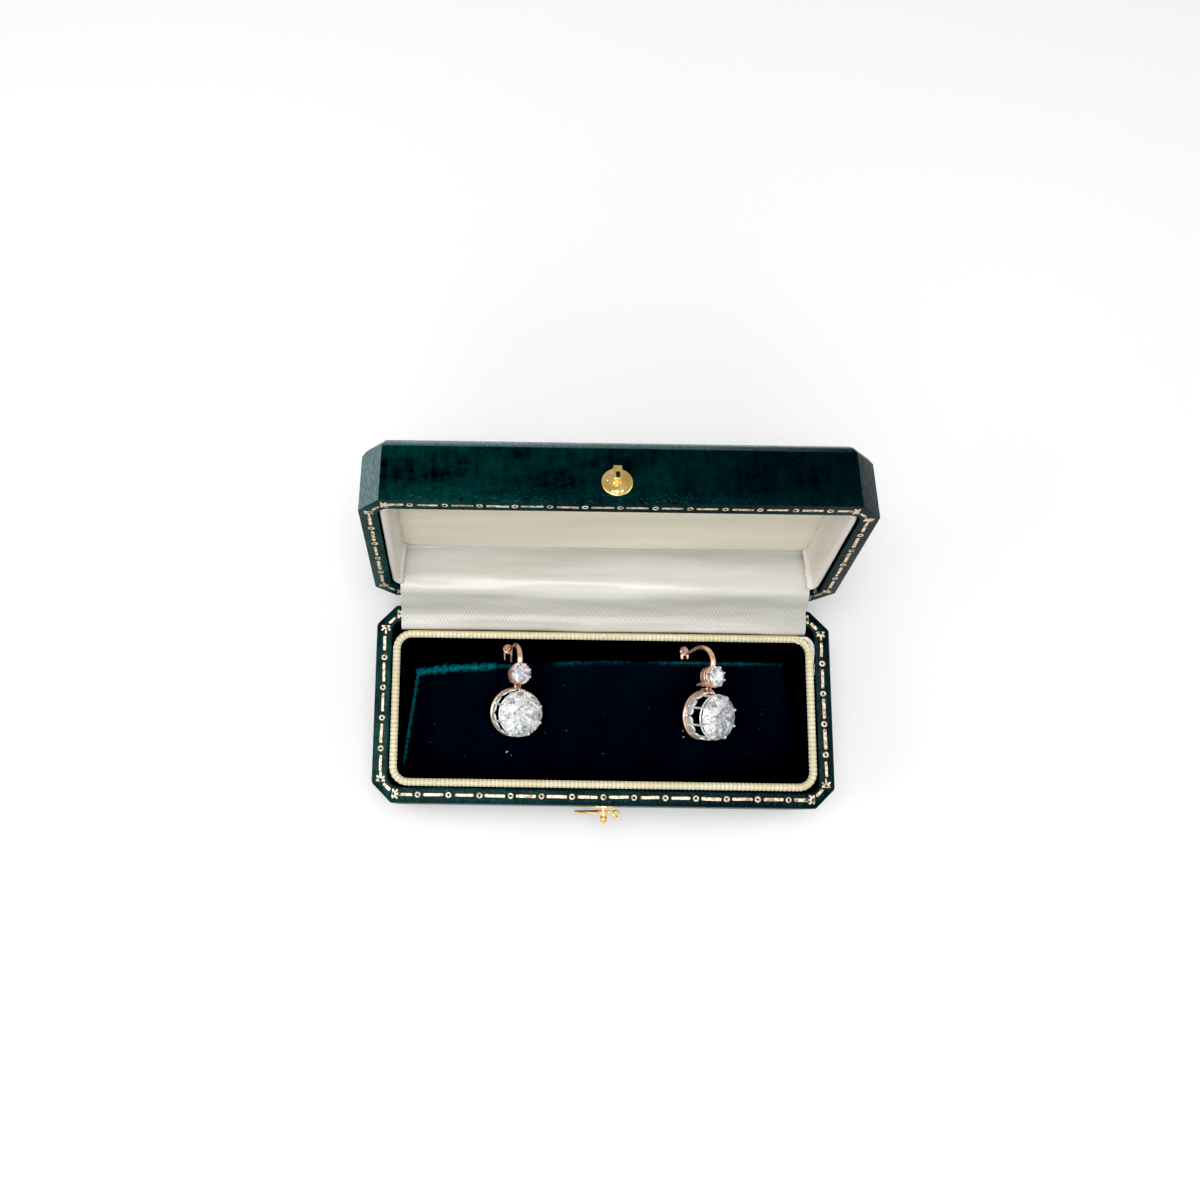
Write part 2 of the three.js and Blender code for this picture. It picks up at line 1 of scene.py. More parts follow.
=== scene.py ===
# A pair of drop earrings with lever-back hooks, on the velvet pad of their open leather jewel box.
# Shapes are drawn in millimetres and turned to metres as each piece is finished.
import random
from bisect import bisect_left
from math import atan2, cos, hypot, pi, radians, sin, tan

import bmesh
import bpy
from mathutils import Matrix, Vector, noise


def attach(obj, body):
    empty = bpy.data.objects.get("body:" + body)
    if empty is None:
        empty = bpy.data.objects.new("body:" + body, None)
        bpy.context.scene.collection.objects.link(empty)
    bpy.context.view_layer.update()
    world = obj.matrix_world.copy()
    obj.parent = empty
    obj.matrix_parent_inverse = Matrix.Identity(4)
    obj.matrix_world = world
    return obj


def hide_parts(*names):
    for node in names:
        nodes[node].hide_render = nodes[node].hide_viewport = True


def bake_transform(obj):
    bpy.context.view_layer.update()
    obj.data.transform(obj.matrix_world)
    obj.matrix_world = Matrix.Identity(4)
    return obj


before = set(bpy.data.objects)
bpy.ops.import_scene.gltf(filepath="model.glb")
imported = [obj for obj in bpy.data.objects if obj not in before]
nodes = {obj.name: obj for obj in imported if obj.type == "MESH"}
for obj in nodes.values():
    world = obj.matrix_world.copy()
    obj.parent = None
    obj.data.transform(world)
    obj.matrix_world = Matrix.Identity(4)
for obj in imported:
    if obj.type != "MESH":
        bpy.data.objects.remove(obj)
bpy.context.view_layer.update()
chance = random.Random(7)
mm = 0.001

case = {
    "halfWidth": 40.0,
    "halfDepth": 17.25,
    "cornerCut": 3.4,
    "baseHeight": 18.0,
    "lidBottom": 18.2,
    "lidHeight": 10.5,
    "lidOpen": 103.9,         # degrees from closed
    "hingeY": 18.45,
    "hingeZ": 18.1,
    "wall": 2.8,
    "leatherEdge": 0.38,      # the leather rounds over the wood's edges
}

earringPlaces = {
    "left": {"x": -14.3, "y": -1.8, "faceTurn": 17.4, "lean": -1.9, "lift": 4.93},
    "right": {"x": 19.85, "y": -1.95, "faceTurn": 34.0, "lean": -2.8, "lift": 5.49},
}

padFace = {"slope": 9.0, "ridgeY": 7.7, "ridgeZ": 15.5}


def move(x, y, z):
    return Matrix.Translation((x, y, z))


def turnBy(degrees, axis):
    return Matrix.Rotation(radians(degrees), 4, axis)


def stretch(x, y, z):
    return Matrix.Diagonal((x, y, z, 1))


def wobble(x, y, z):
    return noise.noise(Vector((x, y, z)))


def padFaceZ(y):
    return padFace["ridgeZ"] + (y - padFace["ridgeY"]) * tan(radians(padFace["slope"]))


def earringMatrix(side):
    place = earringPlaces[side]
    z = padFaceZ(place["y"]) + place["lift"] / cos(radians(padFace["slope"]))
    return (move(place["x"], place["y"], z) @ turnBy(padFace["slope"], "X") @ turnBy(place["lean"], "Z")
            @ turnBy(place["faceTurn"], "Y"))


toHinge = move(0, case["hingeY"], case["hingeZ"])
openLid = toHinge @ turnBy(-case["lidOpen"], "X") @ toHinge.inverted()
closeLid = openLid.inverted()


def addObject(name, data):
    item = bpy.data.objects.new(name, data)
    bpy.context.scene.collection.objects.link(item)
    return item


def unit(value):
    return min(1.0, max(0.0, value))


view = {
    "place": (-16.21, -19.8, 225.92),
    "pitch": 78.61,                   # degrees down from level
    "roll": 0.84,
    "focalPixels": 1189.5,
    "photoPixels": 1200,
    "axisPixel": (512.25, 580.06),    # where the lens axis meets the picture
    "sensor": 36.0,
}


def addCamera():
    lens = bpy.data.cameras.new("camera")
    lens.sensor_width = view["sensor"]
    lens.lens = view["sensor"] * view["focalPixels"] / view["photoPixels"]
    lens.shift_x = 0.5 - view["axisPixel"][0] / view["photoPixels"]
    lens.shift_y = view["axisPixel"][1] / view["photoPixels"] - 0.5
    lens.clip_start = 0.01
    lens.clip_end = 20
    camera = addObject("camera", lens)
    camera.matrix_world = (Matrix.Translation(Vector(view["place"]) * mm)
                           @ turnBy(90 - view["pitch"], "X") @ turnBy(view["roll"], "Z"))
    bpy.context.scene.camera = camera


light = {
    "sky": 0.36,
    "aim": (0, 0.005, 0.02),
    "key": {"place": (-0.03, -0.01, 0.44), "size": 0.2, "power": 1.0},
    "left": {"place": (-0.46, -0.04, 0.3), "size": 0.36, "power": 0.9},
    "right": {"place": (0.46, 0.02, 0.3), "size": 0.4, "power": 0.7},
    "front": {"place": (-0.06, -0.46, 0.32), "size": 0.5, "power": 0.8},
    "black": (0.014, 0.009, 0.007),   # shadows print this much darker, a little cooler, as in the photograph
}


def addLights():
    world = bpy.data.worlds.new("studio")
    world.use_nodes = True
    world.node_tree.nodes["Background"].inputs["Color"].default_value = (1, 1, 1, 1)
    world.node_tree.nodes["Background"].inputs["Strength"].default_value = light["sky"]
    bpy.context.scene.world = world
    for name in ("key", "left", "right", "front"):
        lamp = bpy.data.lights.new(name, "AREA")
        lamp.size = light[name]["size"]
        lamp.energy = light[name]["power"]
        place = Vector(light[name]["place"])
        aim = (Vector(light["aim"]) - place).to_track_quat("-Z", "Y")
        addObject(name, lamp).matrix_world = Matrix.Translation(place) @ aim.to_matrix().to_4x4()


addCamera()
addLights()
printing = bpy.context.scene.view_settings
printing.view_transform = "Standard"
printing.use_curve_mapping = True
printing.curve_mapping.black_level = light["black"]
print("camera and lights placed")


def hexColor(code):
    channels = [int(code[i:i + 2], 16) / 255 for i in (1, 3, 5)]
    linear = [c / 12.92 if c <= 0.04045 else ((c + 0.055) / 1.055) ** 2.4 for c in channels]
    return (*linear, 1.0)


def newMaterial(name, **shader):
    material = bpy.data.materials.new(name)
    material.use_nodes = True
    surface = material.node_tree.nodes["Principled BSDF"]
    for socket, value in shader.items():
        surface.inputs[socket.replace("_", " ")].default_value = value
    return material, material.node_tree


def addNode(tree, kind, inputs=None, **settings):
    node = tree.nodes.new(kind)
    for name, value in settings.items():
        setattr(node, name, value)
    for socket, value in (inputs or {}).items():
        if isinstance(value, bpy.types.NodeSocket):
            tree.links.new(value, node.inputs[socket])
        else:
            node.inputs[socket].default_value = value
    return node


def objectSpot(tree):
    return addNode(tree, "ShaderNodeTexCoord").outputs["Object"]


def mapSpot(tree, spot, scale=(1, 1, 1), turn=(0, 0, 0)):
    return addNode(tree, "ShaderNodeMapping", {0: spot, 2: turn, 3: scale}).outputs[0]


def alongAxis(tree, spot, axis):
    return addNode(tree, "ShaderNodeSeparateXYZ", {0: spot}).outputs[axis]


def painted(tree, name):
    # the number that paint() or paintSheenOnLid() left on the piece
    return addNode(tree, "ShaderNodeAttribute", attribute_name=name).outputs["Fac"]


def addNoise(tree, spot, size, detail=2.0, roughness=0.5):
    # size is the width of the largest patches in metres
    return addNode(tree, "ShaderNodeTexNoise", {"Vector": spot, "Scale": 1 / size, "Detail": detail,
                                                "Roughness": roughness}).outputs[0]


def spread(tree, value, low, high, start=0.0, end=1.0):
    return addNode(tree, "ShaderNodeMapRange", {0: value, 1: low, 2: high, 3: start, 4: end}).outputs[0]


def reckon(tree, operation, *values):
    return addNode(tree, "ShaderNodeMath", dict(enumerate(values)), operation=operation).outputs[0]


def mixColors(tree, share, first, second, blend="MIX"):
    pair = [hexColor(color) if isinstance(color, str) else color for color in (first, second)]
    return addNode(tree, "ShaderNodeMix", {0: share, 6: pair[0], 7: pair[1]}, data_type="RGBA",
                   blend_type=blend).outputs[2]


def plug(tree, output, socket):
    tree.links.new(output, tree.nodes["Principled BSDF"].inputs[socket])


def plugRelief(tree, height, strength, depth):
    bump = addNode(tree, "ShaderNodeBump", {"Strength": strength, "Distance": depth, "Height": height})
    plug(tree, bump.outputs[0], "Normal")


def makeLeather():
    # goatskin, dyed bottle green and glazed: nearly black, mottled teal towards the left, with a crackled
    # grain that gives a grey sheen at low angles, and a painted grey sheen on the lid's rolled edge and cut
    # front-left corner
    material, tree = newMaterial("glazedGoatskin", Roughness=0.34, IOR=1.5, Specular_IOR_Level=0.17)
    where = objectSpot(tree)
    cloudy = addNoise(tree, mapSpot(tree, where, (0.6, 1.0, 1.0)), 0.0055, 9.0, 0.74)
    strokes = addNoise(tree, mapSpot(tree, where, (1.0, 0.22, 0.22)), 0.0009, 3.0)
    contrast = spread(tree, reckon(tree, "MULTIPLY_ADD", strokes, 0.35, cloudy), 0.52, 1.0)
    greener = spread(tree, alongAxis(tree, where, 0), -0.04, 0.02, 1.0, 0.2)
    dye = mixColors(tree, reckon(tree, "MULTIPLY", contrast, greener), "#00070c", "#02473f")
    drawn = mapSpot(tree, where, (1.0, 0.45, 1.0), (0.5, 0.5, 0.6))
    crackle = addNode(tree, "ShaderNodeTexVoronoi", {"Vector": drawn, "Scale": 1 / 0.0006},
                      feature="DISTANCE_TO_EDGE").outputs[0]
    # painted sheen: pale grey #a0bcc0 where the lid's painted sheen number says, broken by the crackle,
    # standing in for the light the leather catches
    paintedSheenShare = reckon(tree, "MULTIPLY", painted(tree, "paintedSheen"), spread(tree, crackle, 0.0, 0.3, 0.55, 1.0))
    plug(tree, mixColors(tree, paintedSheenShare, dye, "#a0bcc0"), "Base Color")
    crease = addNoise(tree, where, 0.0014, 4.0)
    plugRelief(tree, reckon(tree, "ADD", spread(tree, crackle, 0.0, 0.22), crease), 0.4, 0.0001)
    plug(tree, spread(tree, crease, 0.0, 1.0, 0.28, 0.46), "Roughness")
    return material


satinWeave = {
    "pitch": 0.00052,      # the real twill is about 0.3 mm, drawn coarser so that it shows
    "turn": radians(27),
}


def makeSatin(name, pale, deep):
    # silk satin in ivory: a fine diagonal twill with long soft highlights along the folds, and painted shade,
    # with the twill drawn stronger, where the cloth bends at the hinge
    material, tree = newMaterial(name, Roughness=0.3, IOR=1.5, Anisotropic=0.3, Sheen_Weight=0.05)
    cloth = addNode(tree, "ShaderNodeUVMap", uv_map="cloth").outputs[0]
    turned = mapSpot(tree, cloth, turn=(0, 0, satinWeave["turn"]))
    twill = addNode(tree, "ShaderNodeTexWave",
                    {"Vector": turned, "Scale": pi / 10 / satinWeave["pitch"], "Distortion": 0.6,
                     "Detail": 2.0, "Detail Scale": 1.5}, wave_type="BANDS").outputs[0]
    soft = addNoise(tree, mapSpot(tree, cloth, (0.12, 1.0, 1.0)), 0.006, 3.0)
    fold = painted(tree, "fold")
    visible = reckon(tree, "MULTIPLY_ADD", fold, 0.27, 0.08)
    tone = reckon(tree, "MULTIPLY_ADD", twill, visible, soft)
    silk = mixColors(tree, spread(tree, tone, 0.4, 0.85), deep, pale)
    # painted shade: the colour multiplied towards a duller #c4c3b9 where the fold number is high, across the
    # bend at the hinge
    paintedFoldShade = reckon(tree, "MULTIPLY", fold, 0.8)
    plug(tree, mixColors(tree, paintedFoldShade, silk, "#c4c3b9", "MULTIPLY"), "Base Color")
    plugRelief(tree, reckon(tree, "ADD", twill, addNoise(tree, cloth, 0.0012, 3.0)), 0.14, 0.00006)
    return material


def makeCord():
    # cotton gimp cord: cream thread wound tight over a core, matt, with painted shade between the turns, and
    # a painted yellowish shade on the far side of the back run, where the satin tucks in behind it
    material, tree = newMaterial("creamGimpCord", Roughness=0.7, IOR=1.45, Sheen_Weight=0.2)
    where = objectSpot(tree)
    fibre = addNoise(tree, where, 0.0004, 3.0)
    tone = reckon(tree, "MULTIPLY", fibre, addNoise(tree, where, 0.012, 2.0))
    thread = mixColors(tree, spread(tree, tone, 0.12, 0.34), "#cfc49c", "#f1ead0")
    # painted shade: a yellowish tone on the far side of the back run, in the gap where the satin meets the
    # cord
    gapShade = spread(tree, alongAxis(tree, where, 1), 0.0124, 0.01275)
    shadedThread = mixColors(tree, gapShade, thread, "#b9943a")
    # painted shade: a duller cream in the hollows between the turns
    plug(tree, mixColors(tree, painted(tree, "paintedGrooveShade"), shadedThread, "#cbc098"), "Base Color")
    plugRelief(tree, fibre, 0.3, 0.00005)
    return material


def makeVelvet():
    # silk velvet, near black with a blue-green cast: matt, with a painted teal highlight where the pile
    # catches the light along the fold and down the pad's left edge
    material, tree = newMaterial("blueGreenVelvet", Roughness=1.0, IOR=1.3, Specular_IOR_Level=0.05,
                                 Sheen_Weight=0.03, Sheen_Roughness=0.4, Sheen_Tint=hexColor("#1d5f6e"))
    where = objectSpot(tree)
    pile = addNoise(tree, where, 0.0005, 4.0)
    brushed = spread(tree, addNoise(tree, where, 0.009, 3.0), 0.35, 0.75, 0.0, 0.35)
    base = mixColors(tree, brushed, "#0a1617", "#0c1e23")
    lit = reckon(tree, "MULTIPLY", painted(tree, "paintedPileHighlight"), spread(tree, pile, 0.3, 0.62))
    # painted highlight: teal #137079 where the pile highlight number is high
    plug(tree, mixColors(tree, lit, base, "#137079"), "Base Color")
    plugRelief(tree, pile, 0.5, 0.00012)
    return material


def makeDiamond():
    # old-cut diamond with painted reflections: the back facets seen through the crown are painted as a mosaic
    # of white, grey and faint spectral flashes
    material, tree = newMaterial("oldCutDiamond", Roughness=0.04, IOR=2.417)
    face = addNode(tree, "ShaderNodeUVMap", uv_map="face").outputs[0]
    cells = [addNode(tree, "ShaderNodeTexVoronoi", {"Vector": face, "Scale": 1 / size},
                     distance=distance).outputs["Color"]
             for size, distance in ((0.0011, "CHEBYCHEV"), (0.00045, "MANHATTAN"))]
    large, small = [addNode(tree, "ShaderNodeSeparateColor", {0: color}).outputs[0] for color in cells]
    paintedSparkle = reckon(tree, "MULTIPLY_ADD", large, 0.5, painted(tree, "paintedFlash"))
    paintedSparkle = reckon(tree, "MULTIPLY_ADD", small, 0.8, paintedSparkle)
    # painted reflections: white and grey facets, tinted with painted spectral flashes
    paintedMosaic = mixColors(tree, spread(tree, paintedSparkle, 0.35, 1.25), "#7f858d", "#ffffff")
    paintedFire = mixColors(tree, 0.22, "#ffffff", cells[1])
    plug(tree, mixColors(tree, 1.0, paintedMosaic, paintedFire, "MULTIPLY"), "Base Color")
    return material


def makeMottled(name, dark, pale, patches, relief=None, **shader):
    # two tones in patches of (size, detail, from, to) on a relief of (size, detail, strength, depth)
    material, tree = newMaterial(name, **shader)
    where = objectSpot(tree)
    size, detail, low, high = patches
    share = spread(tree, addNoise(tree, where, size, detail), low, high)
    plug(tree, mixColors(tree, share, dark, pale), "Base Color")
    if relief:
        size, detail, strength, depth = relief
        plugRelief(tree, addNoise(tree, where, size, detail), strength, depth)
    return material


def makeMetal(name, pale, dark, metallic, roughness, scratch):
    # worked metal, polished by hand and worn: fine scratches and a slightly uneven tone
    return makeMottled(name, dark, pale, (0.0016, 3.0, 0.35, 0.65), (0.0003, 2.0, scratch, 0.00002),
                       Metallic=metallic, Roughness=roughness)


def makeThread(name, dull, bright):
    # loose cotton, as dust on the velvet and as the threads that have worked out of the cord
    return makeMottled(name, dull, bright, (0.0008, 2.0, 0.0, 1.0), Roughness=0.9, Sheen_Weight=0.3)


leather = makeLeather()
# gold leaf tooled into the leather and rubbed with age: pale, broken, half matt
gilding = makeMottled("rubbedGoldLeaf", "#937a55", "#f4e6cb", (0.0006, 4.0, 0.36, 0.6),
                      (0.0006, 4.0, 0.4, 0.00004), Metallic=0.35, Roughness=0.42)
satin = makeSatin("ivorySilkSatin", "#e6e5e2", "#c3c2ba")
ceilingSatin = makeSatin("ivoryCeilingSatin", "#efe9d8", "#d6cfba")
sideSatin = makeSatin("ivorySideSatin", "#ece7e2", "#d3cbc3")
cord = makeCord()
velvet = makeVelvet()
brass = makeMetal("lacqueredBrass", "#ffe7a4", "#edc26c", 0.84, 0.26, 0.25)
roseGold = makeMetal("roseGoldAlloy", "#fddcc6", "#e2a686", 0.76, 0.24, 0.15)
whiteMetal = makeMetal("oldPlatinum", "#ffffff", "#e9e8e2", 0.6, 0.32, 0.15)
diamond = makeDiamond()
lint = makeThread("cottonLint", "#4c6c76", "#e8f2f4")
looseThread = makeThread("looseCottonThread", "#cdc9bd", "#f6f4ee")
print("materials mixed")


def resize(bm, factor):
    bmesh.ops.scale(bm, vec=(factor,) * 3, verts=bm.verts)


def transform(bm, matrix):
    bmesh.ops.transform(bm, matrix=matrix, verts=bm.verts)


def joinFlats(bm, degrees=1):
    bmesh.ops.dissolve_limit(bm, angle_limit=radians(degrees), verts=bm.verts, edges=bm.edges)


def sharpEdges(bm, degrees):
    return [edge for edge in bm.edges if edge.calc_face_angle(0.0) > radians(degrees)]


def edgesAlong(bm, axis, length):
    return [edge for edge in bm.edges if abs(edge.verts[0].co[axis] - edge.verts[1].co[axis]) > length]


def bevel(bm, edges, offset, segments=2, clamp=False):
    bmesh.ops.bevel(bm, geom=edges, offset=offset, segments=segments, profile=0.5, affect="EDGES",
                    material=-1, clamp_overlap=clamp)


def roundEdges(bm, offset, segments=2):
    joinFlats(bm)
    bevel(bm, sharpEdges(bm, 25), offset, segments, True)


def copyNode(name):
    bm = bmesh.new()
    bm.from_mesh(nodes[name].data)
    resize(bm, 1 / mm)
    bmesh.ops.remove_doubles(bm, verts=bm.verts, dist=1e-3)
    return bm


def recoat(name, material):
    nodes[name].data.materials.clear()
    nodes[name].data.materials.append(material)


def toObject(name, bm, material=None):
    mesh = bpy.data.meshes.new(name)
    bm.to_mesh(mesh)
    bm.free()
    if material:
        mesh.materials.append(material)
    return addObject(name, mesh)


def meshOf(item):
    # the item's mesh, with its curve or its modifiers worked out
    graph = bpy.context.evaluated_depsgraph_get()
    return bpy.data.meshes.new_from_object(item.evaluated_get(graph))


def finishPiece(name, bm, material, body, replaced=(), sharp=40, place=None, flat=False):
    if place is not None:
        transform(bm, place)
    resize(bm, mm)
    bmesh.ops.recalc_face_normals(bm, faces=bm.faces)
    for edge in bm.edges:
        edge.smooth = edge.calc_face_angle(0.0) < radians(sharp)
    for face in bm.faces:
        face.smooth = not flat
    piece = toObject(name, bm, material)
    if body:
        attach(piece, body)
    if replaced:
        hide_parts(*replaced)
    return piece


def mapCloth(piece, where, name="cloth"):
    layer = piece.data.uv_layers.new(name=name)
    spots = [where(vertex.co / mm) for vertex in piece.data.vertices]
    for loop in piece.data.loops:
        u, v = spots[loop.vertex_index]
        layer.data[loop.index].uv = (u * mm, v * mm)


def paint(piece, name, value):
    # a number at each vertex, which the material reads
    layer = piece.data.attributes.new(name, "FLOAT", "POINT")
    for vertex in piece.data.vertices:
        layer.data[vertex.index].value = value(vertex)


def bendWire(bm, points, radii, sides=12, closed=False, straight=False, steps=6):
    curve = bpy.data.curves.new("wire", "CURVE")
    curve.dimensions = "3D"
    curve.bevel_depth = 1
    curve.bevel_resolution = (sides - 4) // 2
    curve.use_fill_caps = not closed
    spline = curve.splines.new("POLY" if straight else "BEZIER")
    spline.resolution_u = steps
    knots = spline.points if straight else spline.bezier_points
    knots.add(len(points) - 1)
    for knot, point, radius in zip(knots, points, radii):
        if straight:
            knot.co = (*point, 1)
        else:
            knot.co = point
            knot.handle_left_type = knot.handle_right_type = "AUTO"
        knot.radius = radius
    spline.use_cyclic_u = closed
    holder = addObject("wire", curve)
    mesh = meshOf(holder)
    bm.from_mesh(mesh)
    bpy.data.objects.remove(holder)
    bpy.data.curves.remove(curve)
    bpy.data.meshes.remove(mesh)


def addCopies(bm, part, matrices=(Matrix(),)):
    mesh = bpy.data.meshes.new("part")
    part.to_mesh(mesh)
    part.free()
    for matrix in matrices:
        mesh.transform(matrix)
        bm.from_mesh(mesh)
        mesh.transform(matrix.inverted())
    bpy.data.meshes.remove(mesh)


def spinProfile(bm, profile, steps, axis="Z", place=Matrix()):
    # a closed profile of (radius, height) points turned about an axis
    part = bmesh.new()
    row = [part.verts.new((r, 0, z)) for r, z in profile]
    edges = [part.edges.new((a, b)) for a, b in zip(row, row[1:] + row[:1])]
    bmesh.ops.spin(part, geom=row + edges, cent=(0, 0, 0), axis=(0, 0, 1), angle=2 * pi, steps=steps,
                   use_merge=True, use_duplicate=False)
    bmesh.ops.remove_doubles(part, verts=part.verts, dist=1e-3)
    upright = turnBy(90, "X") if axis == "Y" else Matrix()
    addCopies(bm, part, [place @ upright])


def addBall(bm, radius, place, across=14, down=10):
    bmesh.ops.create_uvsphere(bm, u_segments=across, v_segments=down, radius=radius, matrix=place)


crown = {
    "rise": 1.2,         # the padding under the lid's top makes it stand this much higher
    "radius": 1.35,
    "segments": 6,
    # the last three are shares of a painted grey sheen on the lid's leather: rolled edge at the front, rolled
    # edge further back, cut corner
    "edgeSheen": 0.97,
    "edgeSheenBehind": 0.5,
    "facetSheen": 0.42,   # on the cut corner at the front left
}


def padCrown(bm):
    # the lid's top board is padded, and the leather rolls over its edges in a wide curve
    top = case["lidBottom"] + case["lidHeight"]
    transform(bm, closeLid)
    joinFlats(bm)
    upper = [vert for vert in bm.verts if vert.co.z > top - 0.05]
    bmesh.ops.translate(bm, vec=(0, 0, crown["rise"]), verts=upper)
    rim = [edge for edge in sharpEdges(bm, 60) if all(vert.co.z > top for vert in edge.verts)]
    bevel(bm, rim, crown["radius"], crown["segments"], True)
    transform(bm, openLid)


def paintSheenOnLid(piece):
    # a painted grey sheen, standing in for the light the leather catches on the rolled edge and on the cut
    # corner at the front left
    top = case["lidBottom"] + case["lidHeight"] + crown["rise"]
    corner = Vector((-1, -1, 0)).normalized()
    paintedSheen = piece.data.attributes.new("paintedSheen", "FLOAT", "CORNER")
    for polygon in piece.data.polygons:
        facing = (closeLid.to_3x3() @ polygon.normal).normalized().dot(corner)
        for index in polygon.loop_indices:
            spot = closeLid @ (piece.data.vertices[piece.data.loops[index].vertex_index].co / mm)
            share = (top - spot.z) / crown["radius"]
            paintedSheen.data[index].value = crown["facetSheen"] if facing > 0.99 else 0.0
            if 0.01 < share < 0.9:
                edgeSheen = crown["edgeSheen"] if spot.y < crown["radius"] - case["halfDepth"] else crown["edgeSheenBehind"]
                paintedSheen.data[index].value = edgeSheen * min(1.0, share * 12) ** 0.7 * (1 - share) ** 0.2


def dressCase(name, node, body):
    bm = copyNode(node)
    if body == "lid":
        padCrown(bm)
    roundEdges(bm, case["leatherEdge"], segments=3)
    return finishPiece(name, bm, leather, body, [node], sharp=30)


dressCase("baseLeather", "base_case", "base")
paintSheenOnLid(dressCase("lidLeather", "lid_case", "lid"))
recoat("base_sole", leather)

tooling = {
    "inset": 1.46,        # from the outer edge to the middle of the line
    "pitch": 5.32,
    "perSide": 6,         # rings on either side of the middle one
    "dashLength": 3.4,
    "dashWidth": 0.52,
    "ring": 0.37,
    "ringWire": 0.14,
    "foil": 0.05,
    "proud": 0.015,
    "sideDots": (-8.0, -2.7, 2.6, 7.9),
    "rays": ((1.5, 0), (1.1, 0.75), (1.1, -0.75), (0.8, 1.6), (0.8, -1.6)),   # length, turn
    "rayWidth": 0.36,
}


def dash(bm, x, y, length, width, turn):
    off = chance.uniform(-0.06, 0.06)
    size = (length * chance.uniform(0.93, 1.05), width * chance.uniform(0.8, 1.1), tooling["foil"])
    part = bmesh.new()
    bmesh.ops.create_cube(part, size=1, matrix=move(x + off, y + off, 0)
                          @ Matrix.Rotation(turn + off * 0.5, 4, "Z") @ stretch(*size))
    bevel(part, edgesAlong(part, 2, tooling["foil"] / 2), width * 0.36, 3, True)
    addCopies(bm, part)


def ring(bm, x, y):
    part = bmesh.new()
    radius, wire = tooling["ring"], tooling["ringWire"] * chance.uniform(0.85, 1.15)
    circle = [(wire * cos(a), wire * 0.3 * sin(a)) for a in (k * pi / 3 for k in range(6))]
    spinProfile(part, [(radius + u, v) for u, v in circle], 16)
    addCopies(bm, part, [move(x + chance.uniform(-0.05, 0.05), y, 0)])


def burst(bm, x, y, turn):
    for length, aside in tooling["rays"]:
        angle = turn + aside
        dash(bm, x + cos(angle) * length * 0.45, y + sin(angle) * length * 0.45, length,
             tooling["rayWidth"], angle)


def toolRim(name, body, z, place):
    bm = bmesh.new()
    halfWidth = case["halfWidth"] - tooling["inset"]
    halfDepth = case["halfDepth"] - tooling["inset"]
    cut = case["cornerCut"] - tooling["inset"] * 0.586    # the line's own corner, 2 less the root of 2
    count, long, wide = tooling["perSide"], tooling["dashLength"], tooling["dashWidth"]
    for sideY in (-halfDepth, halfDepth):
        for k in range(-count, count + 1):
            ring(bm, k * tooling["pitch"], sideY)
        for k in range(-count - 1, count + 1):
            x = (k + 0.5) * tooling["pitch"]
            if abs(k + 0.5) > count:      # the last stroke is short, clear of the cut corner
                dash(bm, x - (0.5 if x > 0 else -0.5), sideY, long * 0.7, wide, 0)
            else:
                dash(bm, x, sideY, long, wide, 0)
    dots = tooling["sideDots"]
    middles = [(a + b) / 2 for a, b in zip(dots, dots[1:])]
    for sideX in (-halfWidth, halfWidth):
        for y in dots:
            ring(bm, sideX, y)
        for y in (dots[0] - 2.5, *middles, dots[-1] + 2.5):
            dash(bm, sideX, y, long * (0.8 if abs(y) > 9 else 1), wide, pi / 2)
    for signX in (-1, 1):
        for signY in (-1, 1):
            middle = (signX * (halfWidth - cut / 2), signY * (halfDepth - cut / 2))
            dash(bm, *middle, 1.6, 0.5, atan2(-signX, signY) if signX * signY < 0 else atan2(signX, -signY))
            burst(bm, signX * (halfWidth - 0.1), signY * (halfDepth - cut + 0.2), signY * -pi / 2)
            burst(bm, signX * (halfWidth - cut + 0.2), signY * (halfDepth - 0.1), pi if signX > 0 else 0)
    transform(bm, move(0, 0, z))
    finishPiece(name, bm, gilding, body, place=place)


toolRim("baseGilding", "base", case["baseHeight"] + tooling["proud"], None)
toolRim("lidGilding", "lid", case["lidBottom"] - tooling["proud"], openLid)
print("cases covered and tooled")

piping = {
    "halfWidth": 36.4,
    "front": -13.65,
    "back": 12.25,
    "corner": 2.7,
    "height": 17.5,
    "halfThick": 0.7,
    "halfTall": 0.88,
    "rib": 0.72,
    "ribDepth": 0.1,
}


def walker(points):
    # a bent line's length, and the point at any length along it
    lengths = [0.0]
    for a, b in zip(points, points[1:]):
        lengths.append(lengths[-1] + (b - a).length)

    def pointAt(s):
        k = min(max(bisect_left(lengths, s) - 1, 0), len(points) - 2)
        return points[k].lerp(points[k + 1], unit((s - lengths[k]) / max(lengths[k + 1] - lengths[k], 1e-9)))

    return lengths[-1], pointAt


def roundedPath(halfWidth, front, back, corner, step):
    right, near, far = halfWidth - corner, front + corner, back - corner
    knots = []
    for x, y, start in ((right, near, -90), (right, far, 0), (-right, far, 90), (-right, near, 180)):
        for k in range(13):
            angle = radians(start + k * 7.5)
            knots.append(Vector((x + corner * cos(angle), y + corner * sin(angle))))
    length, pointAt = walker(knots + knots[:1])
    count = round(length / step)
    return [pointAt(length * k / count) for k in range(count)]


